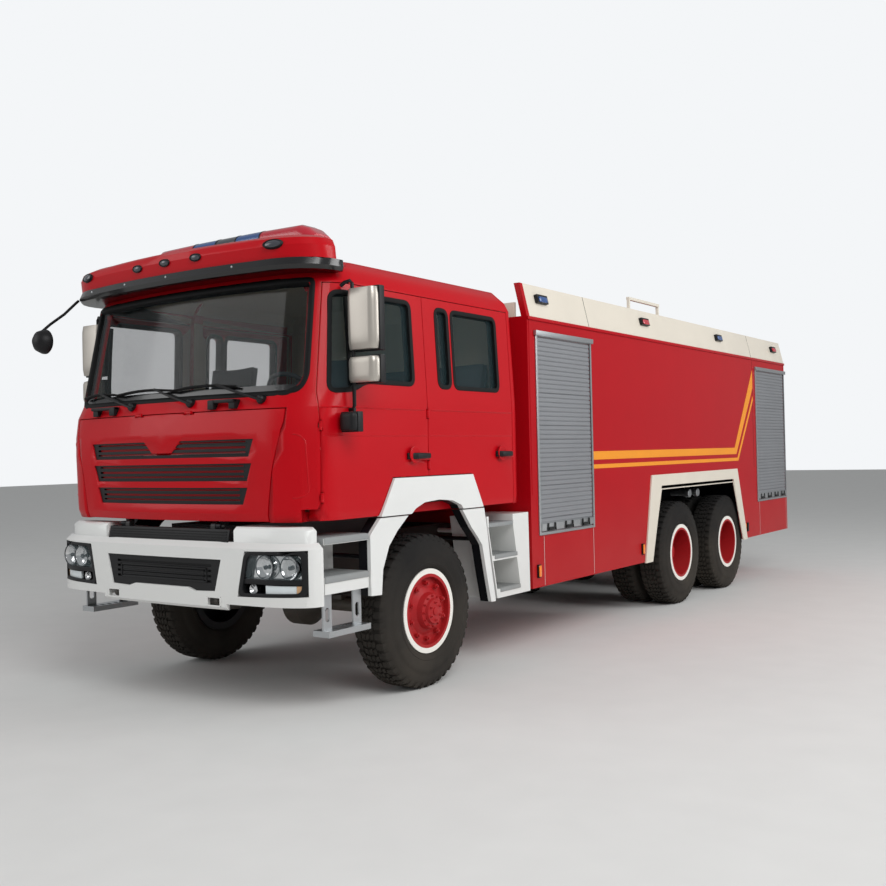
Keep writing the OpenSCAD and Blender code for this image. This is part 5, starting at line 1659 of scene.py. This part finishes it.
@dataclass
class Steps:
    """Grey tread plates with folded lips in the front and rear steps."""

    kit: Kit
    front: tuple[tuple[float, float, float], ...] = (
        # stations of the front and back edge, height of the step
        (-1.146, -0.728, 1.148), (-1.146, -0.728, 0.905))
    rear: tuple[tuple[float, float, float], ...] = (
        (0.728, 1.072, 1.110), (0.800, 1.130, 0.862), (0.870, 1.170, 0.600))
    plate: float = 0.0045
    stud_pitch: float = 0.024

    def build(self) -> None:
        """Lays the tread plates."""
        shape, studs = Shaper(), []
        for sign in SIDES.values():
            for s0, s1, z in self.front:
                studs.append(self._tread(shape, sign, (0.940, 1.228), (s0, s1), z))
                shape.block((sign * 1.2365, row_y(-1.150), z - 0.036),
                            (sign * 1.2405, row_y(-0.724), z + 0.003))
                shape.block((sign * 0.940, row_y(-1.154), z - 0.036),
                            (sign * 1.228, row_y(-1.1505), z + 0.003))
            for s0, s1, z in self.rear:
                studs.append(self._tread(shape, sign, (1.016, 1.238), (s0, s1), z))
                shape.block((sign * 1.2425, row_y(s0), z - 0.026),
                            (sign * 1.2475, row_y(s1), z + 0.003))
        data = joined([shape.mesh_data("plates", 0.001), *studs])
        self.kit.put("step_tread_plates", data, "step_grey", "chassis", "step_aluminium")

    def _tread(self, shape: Shaper, sign: int, across: Pair, span: Pair, z: float) -> Mesh:
        """One plate on a step, with raised rows on it.

        Args:
            shape: Shape that gets the plate.
            sign: Side of the truck.
            across: Inner and outer X of the plate.
            span: Stations of its front and back edge.
            z: Height of the step.

        Returns:
            The raised rows.
        """
        inner, outer = sorted(sign * x for x in across)
        start, top = row_y(span[0]), z + self.plate
        shape.block((inner, start, z + SEAT), (outer, row_y(span[1]), top))
        stud = Shaper()
        stud.block((inner + 0.012, start + 0.014, top - 0.001),
                   (outer - 0.012, start + 0.020, top + 0.0022))
        count = int((span[1] - span[0] - 0.02) / self.stud_pitch)
        return self.kit.row_of(stud, count, (0, self.stud_pitch, 0), "step_grey", 0.0008)


@dataclass
class Body:
    """Seams, shutters, stripes, lamps and trims of the equipment body."""

    kit: Kit
    top: float = 2.768
    board_top: float = 3.045
    back: float = 8.170
    bays: tuple[Pair, ...] = ((1.502, 2.440), (6.990, 8.112))
    rear_bay: float = 0.560
    shutter: Pair = (0.985, 2.610)
    guide: float = 0.030
    slat_pitch: float = 0.0386
    slat: tuple[Pair, ...] = (
        # how far a slat stands out, and the height over the shutter's lower edge
        (0.0, 0.078), (0.005, 0.083), (0.0062, 0.096), (0.005, 0.110), (0.0, 0.1145))
    latches: tuple[int, int] = (3, 4)
    glue: float = 0.0002
    recess: float = 0.0036
    bar_back: float = 0.0038

    def build(self) -> None:
        """Dresses the body."""
        self.board = Skin(["parapets"])
        for side, sign in SIDES.items():
            self._stripes(side, sign)
            for number, bay in enumerate(self.bays, start=1):
                self._shutter_side(f"{side}_{number}", sign, bay)
            self._seams(side, sign)
            self._lamps(side, sign)
            self._arch_lip(side, sign)
        self._rear()

    def _film(self, shape: Shaper, sign: int, outline: Outline, out: float = 0.0012) -> None:
        """Thin sheet on the flat side, from stations and heights."""
        start, end = sorted((sign * (BODY_HALF + self.glue), sign * (BODY_HALF + out)))
        shape.prism([(row_y(s), z) for s, z in outline], Axis.X, start, end)

    def _line(self, shape: Shaper, sign: int, s: float, span: Pair, half: float,
              out: float = 0.0006) -> None:
        """Upright line on the flat side.

        Args:
            shape: Shape that gets the line.
            sign: Side of the truck.
            s: Station of the line.
            span: Its lower and upper end.
            half: Half its width.
            out: How far it stands out.
        """
        low, high = span
        outline = [(s - half, low), (s + half, low), (s + half, high), (s - half, high)]
        self._film(shape, sign, outline, out)

    def _stripes(self, side: str, sign: int) -> None:
        """Two stripes that run level and then climb to the rear locker."""
        shape = Shaper()
        self._film(shape, sign, [(2.452, 1.646), (2.452, 1.570), (6.235, 1.570), (6.872, 2.385),
                                 (6.872, 2.610), (6.180, 1.646)])
        self._film(shape, sign, [(2.452, 1.527), (2.452, 1.490), (6.300, 1.490), (6.872, 2.222),
                                 (6.872, 2.290), (6.270, 1.527)])
        self.kit.put(f"stripes_{side}", shape, "vinyl_film_yellow", "chassis", "body_red")

    def _guides(self, place: Callable[[float, float, float], Point], start: float,
                end: float) -> Shaper:
        """Four bars round a shutter.

        Args:
            place: Gives the point at a distance along, out of the face and up.
            start: Where the opening starts along the face.
            end: Where it ends.

        Returns:
            The bars.
        """
        low, high = self.shutter[0] - 0.020, self.shutter[1] + self.guide
        frame = Shaper()
        for a0, a1, z0, z1 in (
            (start - self.guide, start, low, high), (end, end + self.guide, low, high),
            (start, end, self.shutter[1], high), (start, end, low, self.shutter[0]),
        ):
            frame.block(place(a0, SEAT, z0), place(a1, 0.010, z1))
        return frame

    def _curtain(self, name: str, axis: Axis, face: float, out: int, span: Pair
                 ) -> None:
        """Slats of a shutter.

        Args:
            name: Name of the shutter.
            axis: Axis that the slats run along.
            face: Where the curtain lies on the axis that it faces.
            out: Direction that it faces.
            span: Ends of the slats.
        """
        low, high = self.shutter
        slat = Shaper()
        slat.prism([(face + out * proud, low + up) for proud, up in self.slat], axis, *span)
        count = int((high - low - self.slat[0][1]) / self.slat_pitch)
        row = self.kit.row_of(slat, count, (0, 0, self.slat_pitch), "rolled_aluminium_slats")
        self.kit.put(f"shutter_slats_{name}", row, "rolled_aluminium_slats", "chassis",
                     "shutter_aluminium")

    def _shutter_side(self, name: str, sign: int, bay: Pair) -> None:
        """Guide frame, slats, bottom bar and latches of one shutter."""
        low, high = self.shutter

        def place(s: float, out: float, z: float) -> Point:
            """Point at a station, a distance out of the side and a height."""
            return sign * (BODY_HALF + out), row_y(s), z

        frame = self._guides(place, *bay)
        frame.block(place(bay[0] - 0.045, SEAT, high + 0.004),
                    place(bay[1] + 0.045, 0.026, high + 0.046))
        self.kit.put(f"shutter_frame_{name}", frame, "anodised_aluminium", "chassis",
                     "shutter_aluminium", 0.002)
        self._curtain(name, Axis.Y, sign * (BODY_HALF - self.recess), sign,
                      (row_y(bay[0] + 0.004), row_y(bay[1] - 0.004)))
        bar = Shaper()
        y0, y1 = row_y(bay[0] + 0.006), row_y(bay[1] - 0.006)
        section = ((-self.bar_back, 0.008), (0.012, 0.012), (0.014, 0.070), (-self.bar_back, 0.084))
        bar.prism([(sign * (BODY_HALF + out), low + up) for out, up in section], Axis.Y, y0, y1)
        self.kit.put(f"shutter_bar_{name}", bar, "anodised_aluminium", "chassis", "black_plastic",
                     0.002)
        count = self.latches[self.bays.index(bay)]
        width = (y1 - y0) / count
        x0, x1 = sign * (BODY_HALF + 0.010), sign * (BODY_HALF + 0.022)
        latch, middle = Shaper(), y0 + width / 2
        for start, end, top in ((-0.070, 0.070, 0.040), (-0.070, -0.048, 0.074),
                                (0.048, 0.070, 0.074)):
            latch.block((x0, middle + start, low + 0.012), (x1, middle + end, low + top))
        row = self.kit.row_of(latch, count, (0, width, 0), "abs_gloss_black", 0.003)
        self.kit.put(f"shutter_latches_{name}", row, "abs_gloss_black", "chassis", "black_plastic")

    def _seams(self, side: str, sign: int) -> None:
        """Sealed joints of the side panels and boards, and their edge profiles."""
        dark, light, edge, gap = Shaper(), Shaper(), Shaper(), Shaper()
        self._line(dark, sign, 6.868, (1.40, self.top), 0.003)
        for s in (2.457, 6.848):
            rings = []
            for z in (self.top + 0.002, 2.90, self.board_top - 0.002):
                spot, normal = self.board.side(row_y(s), z, sign)
                rings.append([spot + normal * out + Vector((0, along, 0)) for out, along in (
                    (0.0008, -0.003), (0.0008, 0.003), (-0.001, 0.003), (-0.001, -0.003))])
            dark.loft(rings)
        edge.block((sign * (BODY_HALF + SEAT), row_y(1.356), self.top - 0.030),
                   (sign * (BODY_HALF + 0.012), row_y(8.168), self.top - 0.002))
        self.kit.put(f"panel_joints_{side}", dark, "nitrile_rubber_seal", "chassis", "body_red")
        self.kit.put(f"deck_edge_profile_{side}", edge, "acrylic_body_red", "chassis", "body_red",
                     0.003)
        for s in (1.382, 8.140):
            self._line(light, sign, s, (1.30, 2.736), 0.005, 0.003)
        for bay in self.bays:
            for s in (bay[0] + 0.055, bay[1] + 0.014):
                self._line(gap, sign, s, (0.548, 0.960), 0.0025)
        self.kit.put(f"locker_seams_{side}", gap, "grey_lacquer", "chassis", "body_red")
        self.kit.put(f"corner_beads_{side}", light, "acrylic_body_red", "chassis", "body_red")

    def _lamps(self, side: str, sign: int) -> None:
        """Lenses of the board lamps and side markers."""
        skin = Skin(["side_lamps"])
        for colour, stations in (("blue", (1.636, 5.784)), ("red", (3.712, 7.789))):
            lens = Shaper()
            for s in stations:
                spot, normal = skin.side(row_y(s), 2.925, sign)
                up = (Vector((0, 0, 1)) - normal * normal.z).normalized()
                lens.lens(spot, normal, up, (0.070, 0.024), 0.35,
                          ((1.0, 0.0005), (1.0, 0.006), (0.93, 0.010), (0.6, 0.012)))
            self.kit.put(f"board_lenses_{colour}_{side}", lens, f"polycarbonate_{colour}",
                         "chassis", "lamp_lens")
        lens = Shaper()
        for s in (1.45, 3.49, 6.50):
            spot, normal = skin.side(row_y(s), 0.675, sign)
            lens.lens(spot, normal, Vector((0, 0, 1)), (0.017, 0.046), 0.3,
                      ((1.0, 0.0005), (1.0, 0.006), (0.8, 0.009)))
        self.kit.put(f"marker_lenses_{side}", lens, "polycarbonate_amber", "chassis", "lamp_lens")

    def _arch_lip(self, side: str, sign: int) -> None:
        """Rolled edge of the wheel opening."""
        x = sign * (BODY_HALF + 0.007)
        line = dense([(3.702, 0.541), (3.968, 1.243), (6.083, 1.243), (6.386, 0.541)], 0.05,
                     closed=False)
        shape = Shaper()
        shape.tube([Vector((x, row_y(s), z)) for s, z in line], 0.0065, 8)
        self.kit.put(f"arch_lip_{side}", shape, "acrylic_cream", "chassis", "cream_paint")

    def _rear(self) -> None:
        """Frame, slats and latches of the rear shutter, and the lamp lenses."""
        back, low = row_y(self.back), self.shutter[0]
        half = self.rear_bay
        frame = self._guides(lambda x, out, z: (x, back + out, z), -half, half)
        self.kit.put("shutter_frame_rear", frame, "anodised_aluminium", "chassis",
                     "shutter_aluminium", 0.002)
        self._curtain("rear", Axis.X, back - self.recess, 1, (0.004 - half, half - 0.004))
        bar = Shaper()
        bar.block((0.008 - half, back - self.bar_back, low + 0.008),
                  (half - 0.008, back + 0.013, low + 0.082))
        self.kit.put("shutter_bar_rear", bar, "anodised_aluminium", "chassis", "black_plastic",
                     0.003)
        latch = Shaper()
        latch.block((-0.46, back + 0.012, low + 0.024), (-0.36, back + 0.024, low + 0.066))
        row = self.kit.row_of(latch, 4, (0.273, 0, 0), "abs_gloss_black", 0.004)
        self.kit.put("shutter_latches_rear", row, "abs_gloss_black", "chassis", "black_plastic")
        tail = row_y(8.214)
        for name, finish, x0, x1, y0, y1, z0, z1 in (
            ("stop", "red", 1.016, 1.194, tail + SEAT, tail + 0.009, 0.706, 0.794),
            ("turn", "amber", 1.016, 1.194, tail + SEAT, tail + 0.009, 0.836, 0.924),
            ("high", "blue", 1.126, 1.204, back + 0.0363, back + 0.043, 2.646, 2.714),
        ):
            lens = Shaper()
            for sign in SIDES.values():
                lens.block((sign * x0, y0, z0), (sign * x1, y1, z1))
            self.kit.put(f"{name}_lenses_rear", lens, f"polycarbonate_{finish}", "chassis",
                         "lamp_lens", 0.004)


@dataclass
class Monitor:
    """Bolts of the roof monitor's flange."""

    kit: Kit

    def build(self) -> None:
        """Puts the bolts on the pedestal."""
        y = row_y(7.0)
        bolt = Shaper()
        bolt.turned([(0, 0.0), (0.009, 0.0), (0.009, 0.007), (0.005, 0.010), (0, 0.010)],
                    (0.112, y, 2.8583), Axis.Z, 6)
        ring = self.kit.repeat.run(bolt.mesh_data("bolt"), 8, self.kit.finish["zinc_plate"],
                                   turn=(0, 0, math.tau / 8), pivot=(0, y, 2.8583))
        self.kit.put("monitor_flange_bolts", ring, "zinc_plate", "chassis", "step_aluminium")


@dataclass
class Chassis:
    """Brake chambers and pipe caps that show in the wheel openings."""

    kit: Kit

    def build(self) -> None:
        """Builds the brake chambers of the rear axles and the caps between the wheels."""
        shape = Shaper()
        for station in REAR_AXLES:
            for sign in SIDES.values():
                centre = (sign * 0.515, row_y(station) - 0.205, 0.60)
                shape.turned([(0, -0.075), (0.050, -0.074), (0.072, -0.055), (0.074, -0.008),
                              (0.086, -0.006), (0.086, 0.006), (0.074, 0.008), (0.070, 0.060),
                              (0.030, 0.078), (0.016, 0.080), (0.016, 0.120), (0, 0.120)],
                             centre, Axis.Y, 28)
        self.kit.put("brake_chambers", shape, "zinc_plate", "chassis", "chassis_black")
        caps = Shaper()
        for sign in SIDES.values():
            for station in (5.12, 5.36):
                centre = (sign * 1.08, row_y(station), 1.150)
                caps.turned([(0, -0.20), (0.030, -0.20), (0.030, -0.03), (0.047, -0.028),
                             (0.047, 0.016), (0.040, 0.024), (0, 0.024)], centre, Axis.X, 24, sign)
        self.kit.put("drain_pipe_caps", caps, "zinc_plate", "chassis", "chassis_black")


@dataclass
class Studio:
    """Pale floor, soft lights and the photograph's camera."""

    eye: tuple[float, float, float] = (5.5328, -9.2998, 1.6640)
    yaw: float = 0.61305
    pitch: float = 0.00931
    roll: float = -0.02208
    focal_px: float = 1037.2
    frame_px: float = 886.0

    def build(self) -> None:
        """Makes the floor, world, lights and camera."""
        self._floor()
        self._world()
        self._lights()
        self._camera()

    def _floor(self) -> None:
        """Wide plain floor."""
        data = bpy.data.meshes.new("floor")
        data.from_pydata([(-60, -60, 0), (60, -60, 0), (60, 60, 0), (-60, 60, 0)], [],
                         [(0, 1, 2, 3)])
        floor = bpy.data.objects.new("studio_floor", data)
        bpy.context.scene.collection.objects.link(floor)
        material = bpy.data.materials.new("matt_studio_floor")
        material.use_nodes = True
        tree = material.node_tree
        tree.nodes.clear()
        place = add_node(tree, "ShaderNodeTexCoord").outputs["Object"]
        noise = add_node(tree, "ShaderNodeTexNoise", links={"Vector": place, "Scale": 3.0})
        colour = add_node(
            tree, "ShaderNodeMix", {"data_type": "RGBA"},
            {"Factor": noise.outputs["Fac"], 6: linear("#d7d7d5"), 7: linear("#dededc")},
        ).outputs[2]
        shader = add_node(tree, "ShaderNodeBsdfPrincipled",
                          links={"Base Color": colour, "Roughness": 0.9})
        add_node(tree, "ShaderNodeOutputMaterial", links={"Surface": shader.outputs[0]})
        data.materials.append(material)

    def _world(self) -> None:
        """Plain white for the camera and reflections, a softer level as light."""
        world = bpy.data.worlds.new("studio_world")
        bpy.context.scene.world = world
        world.use_nodes = True
        tree = world.node_tree
        tree.nodes.clear()
        path = add_node(tree, "ShaderNodeLightPath")
        seen = add_node(tree, "ShaderNodeMath", {"operation": "MAXIMUM"},
                        {0: path.outputs["Is Camera Ray"], 1: path.outputs["Is Transmission Ray"]})
        strength = add_node(tree, "ShaderNodeMapRange",
                            links={"Value": seen.outputs[0], "To Min": 0.42, "To Max": 1.0})
        back = add_node(tree, "ShaderNodeBackground",
                        links={"Color": linear("#f4f6f8"), "Strength": strength.outputs[0]})
        add_node(tree, "ShaderNodeOutputWorld", links={"Surface": back.outputs[0]})

    def _lights(self) -> None:
        """Three large soft lamps."""
        for name, spot, aim, size, power in (
            ("key_lamp", (10.0, -9.0, 9.5), (0.0, -1.0, 1.5), 7.0, 900.0),
            ("side_lamp", (11.0, 3.0, 6.0), (1.0, 0.5, 1.5), 6.0, 600.0),
            ("fill_lamp", (-7.0, -12.0, 6.0), (0.0, -3.0, 1.6), 7.0, 300.0),
        ):
            data = bpy.data.lights.new(name, "AREA")
            data.size = size
            data.energy = power
            lamp = bpy.data.objects.new(name, data)
            lamp.location = spot
            way = Vector(aim) - Vector(spot)
            lamp.rotation_euler = way.to_track_quat("-Z", "Y").to_euler()
            bpy.context.scene.collection.objects.link(lamp)

    def _camera(self) -> None:
        """Camera at the photograph's place and angle."""
        ahead = Vector((-math.sin(self.yaw) * math.cos(self.pitch),
                        math.cos(self.yaw) * math.cos(self.pitch), math.sin(self.pitch)))
        right0 = Vector((math.cos(self.yaw), math.sin(self.yaw), 0.0))
        up0 = right0.cross(ahead)
        right = right0 * math.cos(self.roll) + up0 * math.sin(self.roll)
        up = up0 * math.cos(self.roll) - right0 * math.sin(self.roll)
        data = bpy.data.cameras.new("photo_camera")
        data.sensor_width = 36.0
        data.lens = 36.0 * self.focal_px / self.frame_px
        data.clip_end = 200.0
        camera = bpy.data.objects.new("photo_camera", data)
        turn = Matrix((right, up, -ahead)).transposed().to_4x4()
        camera.matrix_world = Matrix.Translation(Vector(self.eye)) @ turn
        bpy.context.scene.collection.objects.link(camera)
        bpy.context.scene.camera = camera
        bpy.context.scene.view_settings.view_transform = "Standard"


CARRIED: dict[str, tuple[str, ...]] = {
    "alkyd_chassis_black": ("chassis_frame", "front_axle", "rear_axles", "leaf_springs",
                            "propshafts"),
    "grey_cast_iron": ("engine_block",),
    "acrylic_white": ("bumper", "front_steps", "rear_steps", "rear_bumper"),
    "acrylic_cream": ("parapets", "arch_trims"),
    "acrylic_cab_red": ("roof_fascia", "service_flap"),
    "acrylic_body_red": ("monitor_base", "monitor_barrel"),
    "nylon_black": ("lower_grille", "tail_lamps", "side_lamps", "forward_mirror", "flap_grilles"),
    "abs_gloss_black": ("sun_visor",),
    "anodised_aluminium": ("stirrup_steps", "rear_ladder"),
    "rolled_aluminium_slats": ("roller_shutters",),
    "grey_lacquer": ("monitor_pedestal",),
    "polycarbonate_clear": ("headlamps",),
    "polycarbonate_red": ("light_bar",),
    "float_glass_tinted": ("windscreen",),
    "polypropylene_trim": ("dashboard",),
    "polyester_seat_cloth": ("seats",),
}
CARRIED_PAIRS: dict[str, tuple[str, ...]] = {
    "acrylic_cab_red": ("door_front", "door_rear"),
    "float_glass_clear": ("glass_front", "glass_rear"), "nylon_black": ("mirror",),
    "alkyd_chassis_black": ("knuckle",),
    "tyre_rubber": ("tyre_front", "tyres_rear_1", "tyres_rear_2"),
}


def paint_nodes(finish: Finishes) -> None:
    """Gives every CAD node its finish through its material slots.

    Args:
        finish: The built finishes.
    """
    chosen = {name: finish[kind] for kind, names in CARRIED.items() for name in names}
    for side in SIDES:
        for kind, names in CARRIED_PAIRS.items():
            chosen.update({f"{name}_{side}": finish[kind] for name in names})
        # rims get black painted shade behind their discs, over most of the inner twin rims
        chosen[f"rim_front_{side}"] = finish.rim("enamel_rim_front", 0.0, FRONT_TRACK + 0.08)
        for axle, station in enumerate(REAR_AXLES, start=1):
            chosen[f"rims_rear_{axle}_{side}"] = finish.rim(
                f"enamel_rims_rear_{axle}", station, REAR_TRACK - TWIN_PITCH / 2 - 0.02
            )
    # black painted shade inside each box: arch insides, the cab's underside and the body's wheel
    # openings
    for node, name, colour, centre, half in (
        ("front_arches", "acrylic_white_arches", "#e4e5e3", (0, 0, 0), (1.222, FAR, FAR)),
        ("arch_tops", "acrylic_white_arch_tops", "#e4e5e3", (0, 0, 0), (1.222, FAR, FAR)),
        ("cab_shell", "acrylic_cab_red_painted_shade", "#bb0615", (0, 0, 0.60), (1.0, FAR, 0.648)),
        ("body_shell", "acrylic_body_red_painted_shade", "#ae0715", (0, row_y(5.05), 0.70),
         (BODY_HALF - 0.006, 1.45, 0.58)),
    ):
        chosen[node] = finish.with_painted_shade(name, colour, centre, half)
    for name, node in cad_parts.items():
        for slot in node.material_slots:
            slot.material = chosen[name]
        if not node.material_slots:
            LOG.warning("%s has no material slot", name)


def main() -> None:
    """Builds and dresses every sub-assembly."""
    logging.basicConfig(level=logging.INFO, format="%(name)s: %(message)s")
    finish = Finishes()
    paint_nodes(finish)
    kit = Kit(finish, Repeater())
    for assembly in (Wheels(kit), Bumper(kit), CabFront(kit), CabSides(kit), Interior(kit),
                     Steps(kit), Body(kit), Monitor(kit), Chassis(kit)):
        LOG.info("building %s", type(assembly).__name__)
        assembly.build()
    Studio().build()


if __name__ == "__main__":
    main()
